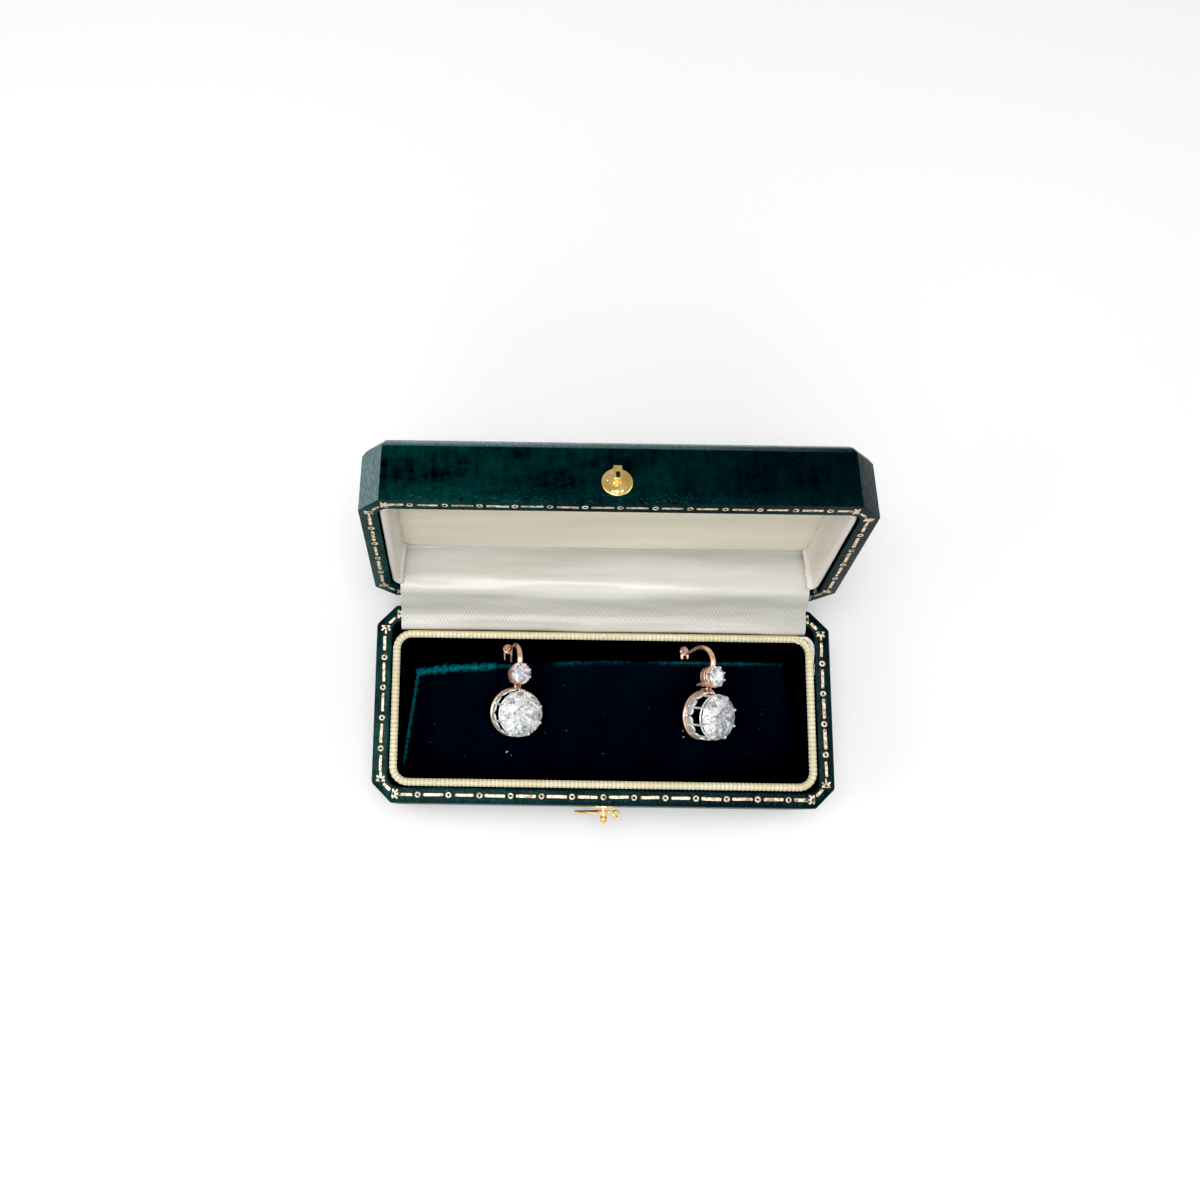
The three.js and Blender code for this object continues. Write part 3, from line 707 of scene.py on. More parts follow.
def makePiping():
    perRib = 4
    path = roundedPath(piping["halfWidth"], piping["front"], piping["back"], piping["corner"],
                       piping["rib"] / perRib)
    waist = (0.0, 0.6, 1.0, 0.6)
    radii = [piping["halfThick"] - piping["ribDepth"] * (1 - waist[k % perRib]) for k in range(len(path))]
    bm = bmesh.new()
    bendWire(bm, [(p.x, p.y, 0) for p in path], radii, closed=True, straight=True)
    tall = piping["halfTall"] / piping["halfThick"]
    transform(bm, move(0, 0, piping["height"]) @ stretch(1, 1, tall))
    piece = finishPiece("wellPiping", bm, cord, "base", ["base_piping"], sharp=80)
    around = len(piece.data.vertices) // len(path)
    # where the painted shade between the turns goes
    paint(piece, "paintedGrooveShade", lambda vertex: 1 - waist[vertex.index // around % perRib])


def addLump(bm, radius, place, grain, rough):
    for vert in bmesh.ops.create_icosphere(bm, subdivisions=2, radius=radius, matrix=place)["verts"]:
        vert.co += noise.noise_vector(vert.co * grain) * rough


def makeLooseThreads():
    # the cord's ends meet at the back right corner, where a few threads have come loose
    bm = bmesh.new()
    x, y, z = piping["halfWidth"], piping["back"], piping["height"] + piping["halfTall"]
    for k in range(5):
        out = 0.35 + 0.19 * k
        drop = 0.1 + 0.16 * k
        points = [(x - 1.9 + 0.1 * k, y + 0.25, z),
                  (x - 0.7 + out * 0.5, y - 0.35 + out * 0.4, z - drop * 0.5),
                  (x + out, y - 1.9, z - drop), (x + out * 0.95, y - 3.2 - 0.3 * k, z - drop),
                  (x + 0.15 + 0.12 * k, y - 4.5 - 0.5 * k, z - drop * 0.8)]
        wavy = [Vector(p) + noise.noise_vector(Vector(p) * 1.3 + Vector((k, 0, 0))) * 0.12 for p in points]
        bendWire(bm, wavy, [0.08, 0.075, 0.07, 0.06, 0.03], sides=6)
    lumps = (((x - 2.5, y - 0.45, z), 0.3), ((x - 2.1, y - 0.8, z - 0.05), 0.22), ((0.05, 12.2, z), 0.34))
    for spot, size in lumps:
        addLump(bm, size, move(*spot), 4, size * 0.5)
    finishPiece("looseThreads", bm, looseThread, "base", sharp=80)


makePiping()
makeLooseThreads()
print("piping wound")

pad = {
    "halfWidth": 35.3,
    "front": -12.5,
    "back": 11.5,
    "backZ": 10.5,
    "skirt": 2.8,
    "fold": ((-32.7, 5.7), (-27.0, 6.45), (0.0, 7.9), (32.4, 8.0)),
    "voxel": 0.00042,           # in metres
    "smoothing": 6,
    "slotHalfWidth": 1.15,      # behind the fold, where each lever's head stands
    "slotFront": -0.5,          # from the fold
    "seamHalfWidth": 0.45,      # in front of it the pile closes over the slit
    "seamDepth": 0.3,
    "seamFront": {"left": -6.3, "right": -2.8},
    "dentRadius": 4.55,
    "dentFloor": -4.8,
    "swell": {"left": 0.5, "right": 2.3},     # the pile stands up round each lever's foot
    "swellRadius": 1.8,
    "dentLip": 0.6,
    "glowWidth": 0.5,
    "glowFrom": -33.2,
    "glowTo": 32.3,
    "widerHighlightTo": -19,           # left of it the painted highlight on the fold is stronger and wider
    "edgeX": -32.75,            # the pad's left edge at the fold's end, and its lean
    "edgeLean": 0.143,
}


def foldY(x):
    points = pad["fold"]
    for (x0, y0), (x1, y1) in zip(points, points[1:]):
        if x <= x1:
            return y0 + (y1 - y0) * (x - x0) / (x1 - x0)
    return points[-1][1]


def remesh(bm, voxel, cutters=()):
    # the solid rebuilt in small even faces, less what the cutters take away
    resize(bm, mm)
    piece = toObject("work", bm)
    tools = []
    for cutter in cutters:
        resize(cutter, mm)
        tools.append(toObject("work", cutter))
        cut = piece.modifiers.new("cut", "BOOLEAN")
        cut.operation = "DIFFERENCE"
        cut.solver = "EXACT"
        cut.object = tools[-1]
    modifier = piece.modifiers.new("remesh", "REMESH")
    modifier.mode = "VOXEL"
    modifier.voxel_size = voxel
    mesh = meshOf(piece)
    for used in (piece, *tools):
        bpy.data.objects.remove(used)
    bm = bmesh.new()
    bm.from_mesh(mesh)
    bpy.data.meshes.remove(mesh)
    resize(bm, 1 / mm)
    return bm


def soften(bm, rounds):
    for _ in range(rounds):
        bmesh.ops.smooth_vert(bm, verts=bm.verts, factor=0.5, use_axis_x=True, use_axis_y=True,
                              use_axis_z=True)


def padBlock():
    bm = bmesh.new()
    for x, y in pad["fold"]:
        bm.verts.new((x, y, padFaceZ(y)))
    front, back, skirt = pad["front"], pad["back"], pad["skirt"]
    for x in (-pad["halfWidth"], pad["halfWidth"]):
        for y, z in ((front, padFaceZ(front)), (back, pad["backZ"]), (front, skirt), (back, skirt)):
            bm.verts.new((x, y, z))
    bmesh.ops.convex_hull(bm, input=bm.verts)
    return bm


def leverSlot(side):
    place = earringMatrix(side)
    spot = place @ Vector((0, 9.5, -6))
    front = (foldY(spot.x) + pad["slotFront"] - place.translation.y) / cos(radians(padFace["slope"]))
    bm = bmesh.new()
    bmesh.ops.create_cube(bm, size=1, matrix=place @ move(0, front + 4, -9)
                          @ stretch(2 * pad["slotHalfWidth"], 8, 11.6))
    return bm


def pressEarring(bm, side):
    # the drum sinks into the pile, and the slit's lips meet in a shallow seam
    place = earringMatrix(side)
    toEarring = place.inverted()
    foot = place @ Vector((0, 5.7, -6.0))
    floor, lip = pad["dentFloor"], pad["dentLip"]
    seam = pad["seamHalfWidth"] * 2
    for vert in bm.verts:
        if padFaceZ(vert.co.y) - vert.co.z > 1.6 or vert.co.y > foldY(vert.co.x) - 0.5:
            continue
        away = (vert.co - foot).xy.length / pad["swellRadius"]
        vert.co.z += pad["swell"][side] * max(0.0, 1 - away * away) ** 2
        local = toEarring @ vert.co
        inside = pad["dentRadius"] + lip - hypot(local.x, local.y)
        if inside > 0:
            if local.z > floor:
                local.z += (floor - local.z) * unit(inside / lip)
        elif abs(local.x) < seam and pad["seamFront"][side] < local.y < 12:
            local.z -= pad["seamDepth"] * (1 - abs(local.x) / seam)
        vert.co = place @ local


def paintedPileHighlight(vertex):
    # the painted highlight: how much teal the pile shows where it catches light, along the fold and down the
    # pad's left edge
    x, y, z = vertex.co / mm
    highlightWider = x < pad["widerHighlightTo"]
    alongFold = 0.5 + 0.5 * wobble(x * 0.16 + 3.1, 0.4, 0)
    strength = 1.0 if highlightWider else 0.55 * max(0.0, alongFold * 1.7 - 0.42)
    width = pad["glowWidth"] * (1.9 if highlightWider else 1.0)
    width *= 0.8 + 0.7 * wobble(x * 1.3, 7, 0)
    onFold = max(0.0, 1 - abs(y - foldY(x) - 0.1) / width) * strength
    edgeX = pad["edgeX"] - (pad["fold"][0][1] - y) * pad["edgeLean"]
    onEdge = max(0.0, 1 - abs(x - edgeX) / 0.4) * (0.85 + 0.3 * wobble(y * 1.1, 3, 0))
    glow = max(onFold if pad["glowFrom"] < x < pad["glowTo"] else 0,
               onEdge if -10.5 < y < 6 else 0)
    return min(1.0, glow * 1.4) if z > padFaceZ(y) - 1.3 else 0.0


def makeVelvetPad():
    bm = remesh(padBlock(), pad["voxel"], [leverSlot(side) for side in earringPlaces])
    soften(bm, pad["smoothing"])
    for side in earringPlaces:
        pressEarring(bm, side)
    for vert in bm.verts:
        if vert.co.z > 5:
            vert.co.z += noise.noise(vert.co * 0.16) * 0.15 + noise.noise(vert.co * 0.7) * 0.05
    piece = finishPiece("velvetPad", bm, velvet, "base", ["velvet_pad"], sharp=180)
    # painted highlight along the fold and the pad's left edge
    paint(piece, "paintedPileHighlight", paintedPileHighlight)


def makeLintFlecks():
    bm = bmesh.new()
    seen = ((-16.7, -8.0, 0.2), (-15.9, -8.6, 0.13), (14.6, -5.0, 0.14), (14.5, -3.9, 0.1))
    loose = [(chance.uniform(-31, 31), chance.uniform(-11.5, 5), chance.uniform(0.03, 0.06))
             for _ in range(30)]
    for x, y, size in (*seen, *loose):
        place = (move(x, y, padFaceZ(y) + size * 0.2) @ Matrix.Rotation(chance.uniform(0, pi), 4, "Z")
                 @ stretch(size * chance.uniform(0.9, 2.2), size * 0.6, size * 0.5))
        addLump(bm, 1, place, 6, size * 0.35)
    finishPiece("velvetLint", bm, lint, "base")


makeVelvetPad()
recoat("well_liner", velvet)
makeLintFlecks()
print("velvet laid")

hingeSatin = {
    "halfWidth": 35.65,
    "thickness": 0.36,
    "across": 130,
    "along": 90,
    "shadeFrom": 12.6,       # y of the painted shade where the cloth bends
    "shadeTo": 19.7,
    "fineSteps": 400,
    # (y, z) of its bent line: on the closed lid, y from the inside of the back wall, and then on the open box
    "onLid": ((-1.75, 26.45), (-1.05, 26.42), (-0.64, 26.05), (-0.6, 25.2), (-0.75, 23.6), (-0.85, 21.8)),
    "overHinge": ((21.5, 22.42), (20.2, 22.52), (19.2, 22.2), (18.45, 21.45), (17.85, 20.55), (17.2, 19.75),
                  (16.45, 19.15), (15.5, 18.85), (14.4, 18.8), (13.55, 18.5), (13.1, 17.7), (13.15, 16.5),
                  (13.35, 14.8)),
}


def satinLine():
    back = case["halfDepth"] - case["wall"]
    return ([openLid @ Vector((0, back + y, z)) for y, z in hingeSatin["onLid"]]
            + [Vector((0, y, z)) for y, z in hingeSatin["overHinge"]])


def splinePoint(line, t):
    span = t * (len(line) - 1)
    k = min(int(span), len(line) - 2)
    u = span - k
    p0, p1, p2, p3 = (line[min(max(k + j, 0), len(line) - 1)] for j in (-1, 0, 1, 2))
    return 0.5 * (2 * p1 + (p2 - p0) * u + (2 * p0 - 5 * p1 + 4 * p2 - p3) * u * u
                  + (3 * p1 - p0 - 3 * p2 + p3) * u ** 3)


def makeHingeSatin():
    line, steps = satinLine(), hingeSatin["fineSteps"]
    whole, pointAt = walker([splinePoint(line, k / steps) for k in range(steps + 1)])
    bm = bmesh.new()
    bmesh.ops.create_grid(bm, x_segments=hingeSatin["across"], y_segments=hingeSatin["along"], size=1)
    flat = {}
    for vert in bm.verts:
        x = vert.co.x * hingeSatin["halfWidth"]
        s = (1 - vert.co.y) / 2 * whole
        step = pointAt(min(s + 0.15, whole)) - pointAt(max(s - 0.15, 0))
        out = Vector((0, -step.z, step.y)).normalized()
        ripple = (wobble(x * 0.045, s * 0.4, 1.7) * 0.32
                  + wobble(x * 0.13, s * 0.5, 8) * 0.14
                  + wobble(x * 0.5, s * 0.3, 4) * 0.03)
        ripple *= sin(pi * unit(s / whole)) ** 0.5      # none at the two ends, which are glued down
        vert.co = pointAt(s) + Vector((x, 0, 0)) + out * ripple
        flat[vert] = (x * mm, s * mm)
    layer = bm.loops.layers.uv.new("cloth")
    for face in bm.faces:
        for loop in face.loops:
            loop[layer].uv = flat[loop.vert]
    bmesh.ops.solidify(bm, geom=bm.faces, thickness=hingeSatin["thickness"])
    piece = finishPiece("hingeSatin", bm, satin, None, ["satin_hinge_cover"], sharp=60)
    low, high = hingeSatin["shadeFrom"], hingeSatin["shadeTo"]

    # how much painted shade the satin takes, highest in the middle of the bend
    def paintedShadeAt(vertex):
        y = vertex.co.y / mm + 0.35 * noise.noise(vertex.co / mm * 0.09)
        return sin(pi * unit((y - low) / (high - low))) ** 0.8

    paint(piece, "fold", paintedShadeAt)
    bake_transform(piece)


lidLining = {
    "halfWidth": 37.05,
    "front": -14.3,
    "back": 14.2,
    "corner": 2.2,
    "rim": 18.75,
    "ceiling": 26.7,
    "cloth": 0.1,
    "endX": 35.0,           # the back wall is left to the hinge satin
    "step": 0.8,
    "rows": 24,
}


def makeLidLining():
    # padded satin round the lid's inside: rolled at the rim, down the walls and in under the ceiling
    path = roundedPath(lidLining["halfWidth"], lidLining["front"], lidLining["back"], lidLining["corner"],
                       lidLining["step"])
    kept = [p for p in path if not (p.y > 0 and abs(p.x) < lidLining["endX"])]
    start = max(range(len(kept)), key=lambda k: (kept[k] - kept[k - 1]).length)
    kept = kept[start:] + kept[:start]
    last = len(kept) - 1
    inwards = []
    for k in range(last + 1):
        along = (kept[min(k + 1, last)] - kept[max(k - 1, 0)]).normalized()
        inwards.append(Vector((-along.y, along.x, 0)))
    tall = lidLining["ceiling"] - lidLining["rim"]
    section = [Vector((*p, 0)) for p in (
        (0.1, 0.55), (0.2, 0.15), (0.5, 0), (0.85, 0.12), (1.08, 0.5), (1.18, 1.2), (1.25, tall * 0.5),
        (1.6, tall * 0.85), (2.0, tall))]
    bm = bmesh.new()
    bmesh.ops.create_grid(bm, x_segments=last, y_segments=lidLining["rows"], size=1)
    for vert in bm.verts:
        span = (vert.co.x + 1) / 2 * last
        k = min(int(span), last - 1)
        spot = kept[k].lerp(kept[k + 1], span - k)
        inward, rise, _ = splinePoint(section, (vert.co.y + 1) / 2)
        inward += wobble(spot.x * 0.12, spot.y * 0.12, rise * 0.2) * 0.12
        vert.co = (Vector((spot.x, spot.y, lidLining["rim"] + rise))
                   + inwards[k].lerp(inwards[k + 1], span - k) * inward)
    bmesh.ops.solidify(bm, geom=bm.faces, thickness=lidLining["cloth"])
    piece = finishPiece("lidSideLining", bm, sideSatin, "lid", ["lid_lining"], sharp=180,
                        place=openLid)
    mapCloth(piece, lambda co: ((closeLid @ co).x + (closeLid @ co).y, (closeLid @ co).z))


ceilingPad = {
    "voxel": 0.0005,        # in metres
    "crown": 0.35,
    "smoothing": 5,
    "halfWidth": 36,
    "halfDepth": 13,
    "top": 26.2,            # above this it is glued to the board
}


def makeCeilingPad():
    bm = remesh(copyNode("lid_ceiling_pad"), ceilingPad["voxel"])
    soften(bm, ceilingPad["smoothing"])
    transform(bm, closeLid)
    for vert in bm.verts:
        x, y = vert.co.x / ceilingPad["halfWidth"], vert.co.y / ceilingPad["halfDepth"]
        crowned = ceilingPad["crown"] * (1 - min(1, x * x)) * (1 - min(1, y * y))
        if vert.co.z < ceilingPad["top"]:
            vert.co.z -= crowned + wobble(x * 1.5, y * 1.2, 0.3) * 0.16
    piece = finishPiece("lidCeilingPad", bm, ceilingSatin, "lid", ["lid_ceiling_pad"],
                        sharp=180, place=openLid)
    mapCloth(piece, lambda co: (closeLid @ co).xy)


makeHingeSatin()
makeLidLining()
makeCeilingPad()
print("satin fitted")

catch = {
    "x": 0.3,
    "face": -17.3,
    "plateZ": 14.45,
    "plateRadius": 2.38,
    "plateThickness": 0.3,
    "lidPlateZ": 3.55,        # over the lid's rim
    "strapWidth": 1.3,
    "strapThickness": 0.3,
    "slot": (0.62, 1.0, 0.06),
    "slotZ": 0.5,
    "standOff": 0.95,
    "reach": 8.2,
    "restTurn": -151.0,
    "studReach": 1.95,
    "stapleX": -0.5,
}


def addPlate(bm, x, z):
    thick, r = catch["plateThickness"], catch["plateRadius"]
    profile = [(0.0001, 0), (r, 0), (r, thick * 0.55), (r - 0.12, thick * 0.9), (r - 0.35, thick),
               (r - 0.6, thick * 0.8), (r - 0.75, thick * 0.86), (0.0001, thick)]
    spinProfile(bm, profile, 48, "Y", move(x, 0, z))


def makeBasePlate():
    bm = bmesh.new()
    addPlate(bm, catch["x"], catch["plateZ"])
    transform(bm, move(0, catch["face"], 0))
    finishPiece("basePlate", bm, brass, "base", ["base_catch_plate"], sharp=35)


def makeStud():
    bm = bmesh.new()
    reach = catch["studReach"]
    profile = [(0.0001, 0), (0.5, 0), (0.5, 0.3), (0.42, 0.4), (0.42, reach - 0.7), (0.5, reach - 0.6),
               (0.6, reach - 0.35), (0.63, reach - 0.05), (0.56, reach + 0.25), (0.38, reach + 0.5),
               (0.16, reach + 0.62), (0.0001, reach + 0.65)]
    start = catch["face"] - catch["plateThickness"] - 0.05
    spinProfile(bm, profile, 24, "Y", move(catch["x"], start, catch["plateZ"]))
    finishPiece("catchStud", bm, brass, "base", ["catch_stud"], sharp=35)


def makeHook():
    bm = bmesh.new()
    reach = catch["reach"]
    arm = [(-0.35, 0.7), (-1.0, 2.0), (-2.25, 4.6), (-2.45, 6.6), (-1.9, 7.9), (-0.7, reach),
           (0.5, reach - 0.1)]
    bendWire(bm, [(x, 0, z) for x, z in arm], [0.56, 0.6, 0.52, 0.46, 0.41, 0.37, 0.34])
    addBall(bm, 0.38, move(0.5, 0, reach - 0.1))
    tail = [(0.15, -0.8), (-0.1, -1.6), (-0.5, -2.5)]
    bendWire(bm, [(x, 0, z) for x, z in tail], [0.4, 0.36, 0.3])
    bmesh.ops.scale(bm, vec=(1, 0.8, 1), verts=bm.verts)
    eye = [(0.57, -0.25), (0.95, -0.25), (1.05, -0.15), (1.05, 0.15), (0.95, 0.25), (0.57, 0.25)]
    spinProfile(bm, eye, 28, "Y")
    curl = [(0.55 + 0.22 * cos(k * pi / 4), 0.22 * sin(k * pi / 4)) for k in range(8)]
    spinProfile(bm, curl, 24, "Z", move(-0.6, -0.4, -3.0))
    pivot = move(catch["x"], catch["face"] - catch["standOff"], catch["plateZ"])
    finishPiece("catchHook", bm, brass, "catch_hook", ["catch_hook"], sharp=50,
                place=pivot @ turnBy(catch["restTurn"], "Y"))


def moveMade(bm, made, offset):
    # moves the points that an extrusion has just made
    bmesh.ops.translate(bm, vec=offset, verts=[item for item in made if isinstance(item, bmesh.types.BMVert)])


def addStrap(bm, line, width):
    # a flat strap bent along a line of (out, up) points
    part = bmesh.new()
    row = [part.verts.new((-width / 2, out, up)) for out, up in line]
    edges = [part.edges.new(pair) for pair in zip(row, row[1:])]
    moveMade(part, bmesh.ops.extrude_edge_only(part, edges=edges)["geom"], (width, 0, 0))
    bmesh.ops.solidify(part, geom=part.faces, thickness=catch["strapThickness"])
    bevel(part, sharpEdges(part, 60), 0.06)
    addCopies(bm, part)


def makeLidCatch():
    # a round plate with a staple that the hook drops into, and the end of its tongue turned over below
    bm = bmesh.new()
    addPlate(bm, 0, 0)
    addStrap(bm, [(-0.3, -0.35), (-1.25, -0.35), (-1.6, -0.1), (-1.65, 0.4), (-1.65, 1.6), (-1.5, 2.15),
                  (-0.95, 2.4), (-0.3, 2.45), (-0.05, 2.6)], catch["strapWidth"])
    strapFront = min(vert.co.y for vert in bm.verts)
    tongue = [(0.0001, 0.28), (0.7, 0.28), (1.0, 0.34), (1.0, 0.42), (0.8, 0.6), (0.4, 0.72), (0.0001, 0.74)]
    spinProfile(bm, tongue, 28, "Y", move(0, 0, -1.35) @ stretch(1, 1, 0.95))
    addBall(bm, 0.26, move(-1.45, -catch["plateThickness"], 0.3) @ stretch(1, 0.5, 1))
    low = move(catch["stapleX"], catch["face"], case["lidBottom"] + catch["lidPlateZ"])
    finishPiece("lidCatch", bm, brass, "lid", ["lid_catch"], sharp=35, place=openLid @ low)
    # the slot in the strap, with the dark leather behind it
    slot = bmesh.new()
    width, tall, deep = catch["slot"]
    bmesh.ops.create_cube(slot, size=1, matrix=move(0, strapFront, catch["slotZ"])
                          @ stretch(width, deep, tall))
    bevel(slot, edgesAlong(slot, 1, deep / 2), width * 0.35, 4)
    finishPiece("lidCatchSlot", slot, leather, "lid", sharp=35, place=openLid @ low)


def makeHingeLeaves():
    for side in earringPlaces:
        for body in ("base", "lid"):
            node = f"{side}_hinge_{body}_leaf"
            bm = copyNode(node)
            roundEdges(bm, 0.08)
            finishPiece(f"{side}Hinge{body.capitalize()}Leaf", bm, brass, body, [node], sharp=35)
        recoat(f"{side}_hinge_pin", brass)


makeBasePlate()
makeStud()
makeHook()
makeLidCatch()
makeHingeLeaves()
print("brasswork made")

gem = {
    # share of the radius, share of the height, corners and turn of each row of a cut stone
    "rows": ((0.53, 0.36, 8, 0), (0.79, 0.215, 8, 0.5), (1, 0.03, 16, 0), (1, -0.03, 16, 0),
             (0.56, -0.5, 8, 0.5), (0.09, -0.84, 8, 0)),
}

jewel = {
    "spacing": 7.05,
    "topDrop": 1.0,
    "topPitch": -8.0,
    "mainRadius": 3.85,
    "topRadius": 1.75,
    "mainClaws": 8,
    "topClaws": 8,
    "depth": 4.3,
    "backWire": 0.33,
    "petalHalfWidth": 0.74,
    "petalRise": 1.5,
    "leverPivot": (-1.1, -2.95),
    "leverHead": (5.1, -8.1),
    "headRadius": 0.95,
    "prongX": 0.655,
    "linkY": 4.03,
    "linkZ": -3.3,
    "linkHalfLength": 1.7,
    "linkHalfWidth": 0.68,
    "linkEye": (-2.07, -2.1),
}


def clawAngles(count):
    return [(k + 0.5) / count * 2 * pi for k in range(count)]


def makeStone(name, radius, node, place):
    bm = bmesh.new()
    for share, height, count, turn in gem["rows"]:
        matrix = move(0, 0, height * radius) @ Matrix.Rotation(turn / count * 2 * pi, 4, "Z")
        bmesh.ops.create_circle(bm, segments=count, radius=share * radius, matrix=matrix)
    for edge in list(bm.edges):
        bm.edges.remove(edge)
    bmesh.ops.convex_hull(bm, input=bm.verts)
    joinFlats(bm, 0.5)
    piece = finishPiece(name, bm, diamond, "base", [node], place=place, flat=True)
    back = place.inverted()
    mapCloth(piece, lambda co: (back @ co).xy, "face")
    # a random share per face for the painted facet reflections
    paintedFlash = piece.data.attributes.new("paintedFlash", "FLOAT", "FACE")
    for polygon in piece.data.polygons:
        paintedFlash.data[polygon.index].value = chance.uniform(0.0, 0.45)


def addClaws(bm, count, radius, foot, wire, tipIn, tipZ, bead):
    part = bmesh.new()
    points = [(radius, 0, foot), (radius, 0, foot * 0.4), (radius, 0, tipZ * 0.15),
              (radius - tipIn * 0.35, 0, tipZ * 0.78), (radius - tipIn, 0, tipZ)]
    bendWire(part, points, [wire, wire, wire * 0.95, wire * 0.88, wire * 0.8], sides=10, steps=4)
    addBall(part, bead, move(radius - tipIn, 0, tipZ), 10, 8)
    addCopies(bm, part, [Matrix.Rotation(angle, 4, "Z") for angle in clawAngles(count)])


def addRing(bm, radius, wire, z, steps=48, sides=10, place=Matrix()):
    angles = [2 * pi * k / sides for k in range(sides)]
    spinProfile(bm, [(radius + wire * cos(a), z + wire * sin(a)) for a in angles], steps, "Z", place)


def makeMainSetting(side, place):
    bm = bmesh.new()
    radius = jewel["mainRadius"]
    footZ = -jewel["depth"] + 0.65
    addRing(bm, radius - 0.02, 0.16, -0.5)
    addRing(bm, radius + 0.2, 0.2, footZ)
    addClaws(bm, jewel["mainClaws"], radius - 0.02, footZ, 0.2, 0.24, 0.54, 0.2)
    petal = bmesh.new()
    half = jewel["petalHalfWidth"]
    bmesh.ops.create_circle(petal, cap_ends=True, segments=20, radius=half,
                            matrix=move(0, jewel["petalRise"] - half, 0))
    for vert in petal.verts:
        if vert.co.y < half:
            vert.co.y = 0.0
    moveMade(petal, bmesh.ops.extrude_face_region(petal, geom=petal.faces[:])["geom"], (0, 0, 0.3))
    bmesh.ops.remove_doubles(petal, verts=petal.verts, dist=1e-4)
    bevel(petal, sharpEdges(petal, 60), 0.07)
    stand = move(radius + 0.05, 0, footZ) @ turnBy(90, "Z") @ turnBy(90, "X")
    petals = clawAngles(2 * jewel["mainClaws"])
    addCopies(bm, petal, [Matrix.Rotation(angle, 4, "Z") @ stand for angle in petals])
    finishPiece(f"{side}MainSetting", bm, whiteMetal, "base", [f"{side}_main_setting"],
                sharp=50, place=place)


def makeBackRing(side, place):
    bm = bmesh.new()
    addRing(bm, jewel["mainRadius"] + 0.2, jewel["backWire"], -jewel["depth"], 56, 12)
    finishPiece(f"{side}BackRing", bm, roseGold, "base", [f"{side}_back_ring"], place=place)


def makeLink(side, place):
    bm = bmesh.new()
    angles = [2 * pi * k / 16 for k in range(16)]
    points = [(0, jewel["linkY"] + jewel["linkHalfWidth"] * sin(angle),
               jewel["linkZ"] - jewel["linkHalfLength"] * cos(angle)) for angle in angles]
    bendWire(bm, points, [0.18] * 16, closed=True, steps=4)
    finishPiece(f"{side}DropLink", bm, roseGold, "base", [f"{side}_drop_link"], sharp=180,
                place=place)


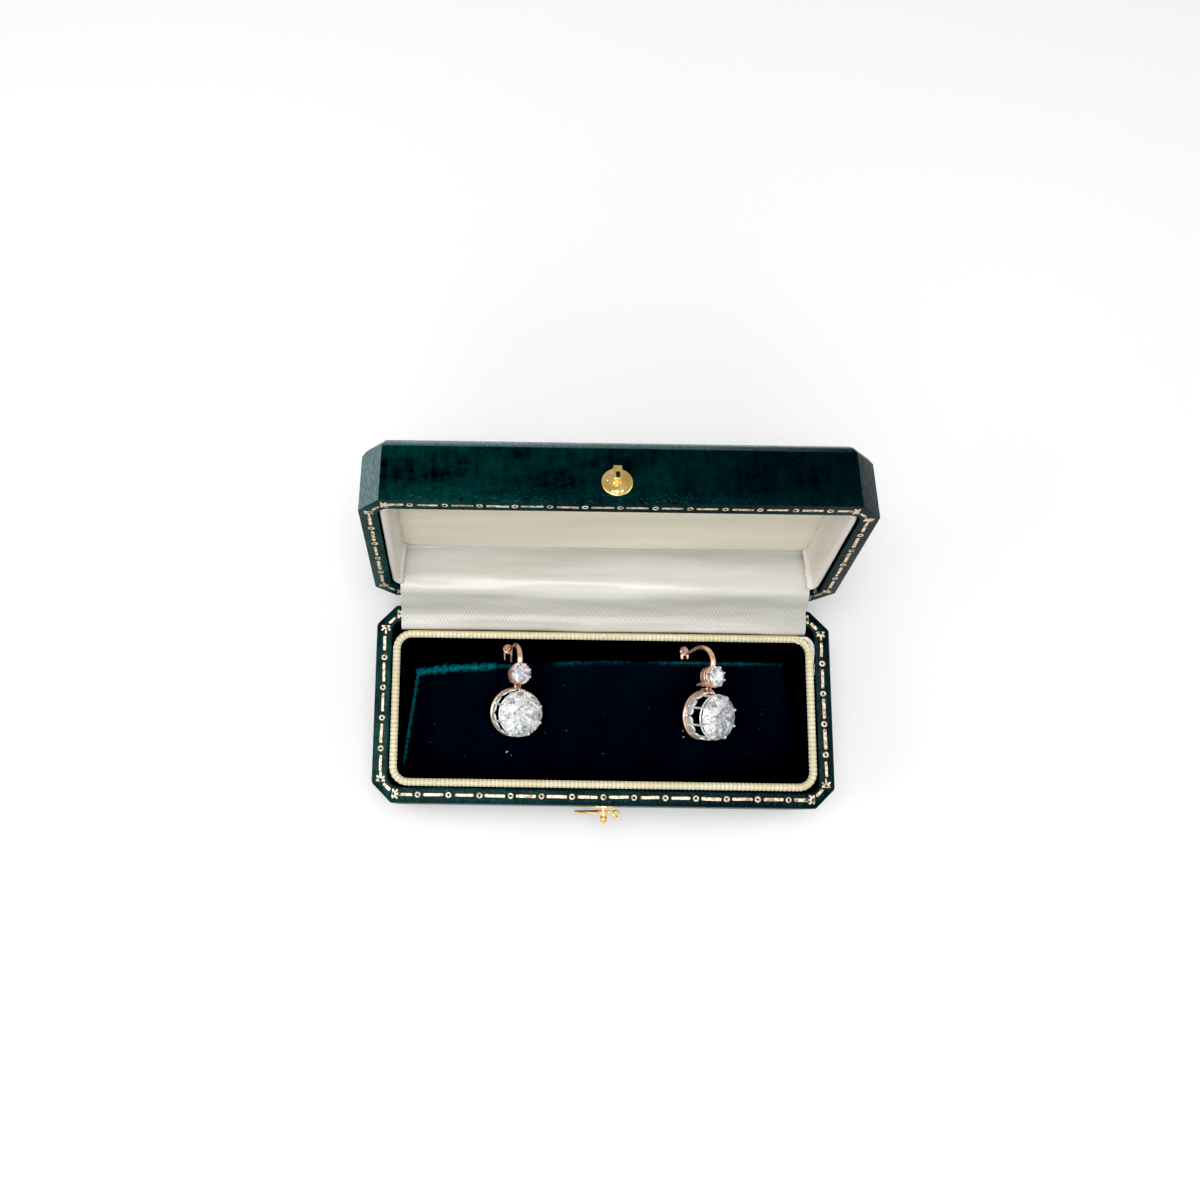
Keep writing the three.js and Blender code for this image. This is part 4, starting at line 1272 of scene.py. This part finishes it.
def makeEarHook(side, place):
    bm = bmesh.new()
    collet = [(1.5, -0.45), (1.42, -1.4), (1.5, -2.3), (1.7, -2.34), (1.79, -2.28), (1.8, -2.15),
              (1.74, -2.0), (1.84, -1.75), (1.8, -1.6), (1.82, -1.45), (1.92, -1.25), (1.86, -1.1),
              (1.86, -0.95), (1.96, -0.75), (1.95, -0.6), (1.86, -0.45)]
    spinProfile(bm, collet, 40)
    wire = [(1.62, -1.0), (2.6, -0.8), (4.25, -1.4), (5.25, -2.9), (5.42, -4.2), (5.15, -5.6), (4.75, -6.8),
            (4.6, -7.7)]
    bendWire(bm, [(0, y, z) for y, z in wire], [0.54, 0.52, 0.47, 0.42, 0.37, 0.32, 0.27, 0.23], sides=14)
    addBall(bm, 0.24, move(0, *wire[-1]))
    pivotY, pivotZ = jewel["leverPivot"]
    lug = bmesh.new()
    for y0, y1, z0, z1 in ((-1.72, -0.75, -2.6, -2.15), (-1.5, -0.75, -3.0, -2.4)):
        bmesh.ops.create_cube(lug, size=1, matrix=move(0, (y0 + y1) / 2, (z0 + z1) / 2)
                              @ stretch(0.76, y1 - y0, z1 - z0))
    bevel(lug, lug.edges[:], 0.08)
    bmesh.ops.create_cone(lug, cap_ends=True, segments=20, radius1=0.42, radius2=0.42, depth=0.76,
                          matrix=move(0, pivotY, pivotZ) @ turnBy(90, "Y"))
    addCopies(bm, lug)
    addRing(bm, 0.48, 0.13, 0, 24, 8, move(0, *jewel["linkEye"]))
    finishPiece(f"{side}EarHook", bm, roseGold, "base", [f"{side}_ear_hook"], sharp=45,
                place=place)
    claws = bmesh.new()
    addClaws(claws, jewel["topClaws"], jewel["topRadius"] + 0.02, -0.85, 0.14, 0.18, 0.38, 0.16)
    finishPiece(f"{side}TopClaws", claws, whiteMetal, "base", sharp=50, place=place)


def makeLever(side, place):
    bm = bmesh.new()
    pivotY, pivotZ = jewel["leverPivot"]
    headY, headZ = jewel["leverHead"]
    path = [(pivotY, pivotZ - 0.35), (-1.15, -4.4), (-0.4, -6.3), (1.2, -7.7), (2.9, -8.1), (4.45, headZ)]
    for x in (-jewel["prongX"], jewel["prongX"]):
        prong = bmesh.new()
        bendWire(prong, [(0, y, z) for y, z in path], [0.25, 0.25, 0.27, 0.3, 0.34, 0.38], sides=10)
        addCopies(bm, prong, [move(x, 0, 0) @ stretch(0.72, 1, 1)])
        hub = [(0.26, -0.17), (0.44, -0.17), (0.48, -0.12), (0.48, 0.12), (0.44, 0.17), (0.26, 0.17)]
        spinProfile(bm, hub, 20, "Z", move(x, pivotY, pivotZ) @ turnBy(90, "Y"))
    r = jewel["headRadius"]
    head = [(0.0001, -0.25), (r - 0.12, -0.25), (r, -0.15), (r, 0.12), (r - 0.1, 0.24), (r - 0.4, 0.25),
            (0.0001, 0.18)]
    spinProfile(bm, head, 28, "Z", move(0, headY, headZ))
    finishPiece(f"{side}Lever", bm, roseGold, f"{side}_lever", [f"{side}_lever"], sharp=45,
                place=place)


def makeEarring(side):
    place = earringMatrix(side)
    top = place @ move(0, jewel["spacing"], -jewel["topDrop"]) @ turnBy(jewel["topPitch"], "X")
    makeStone(f"{side}MainStone", jewel["mainRadius"], f"{side}_main_stone", place)
    makeStone(f"{side}TopStone", jewel["topRadius"], f"{side}_top_stone", top)
    makeMainSetting(side, place)
    makeBackRing(side, place)
    makeLink(side, place)
    makeEarHook(side, top)
    makeLever(side, top)
    recoat(f"{side}_lever_pin", roseGold)


for side in earringPlaces:
    makeEarring(side)
print("earrings set")


def makeFloor():
    material = newMaterial("paleTable", Roughness=0.9, Base_Color=hexColor("#f7f7f7"))[0]
    bm = bmesh.new()
    bmesh.ops.create_grid(bm, x_segments=1, y_segments=1, size=2.5)
    floor = toObject("floor", bm, material)


makeFloor()
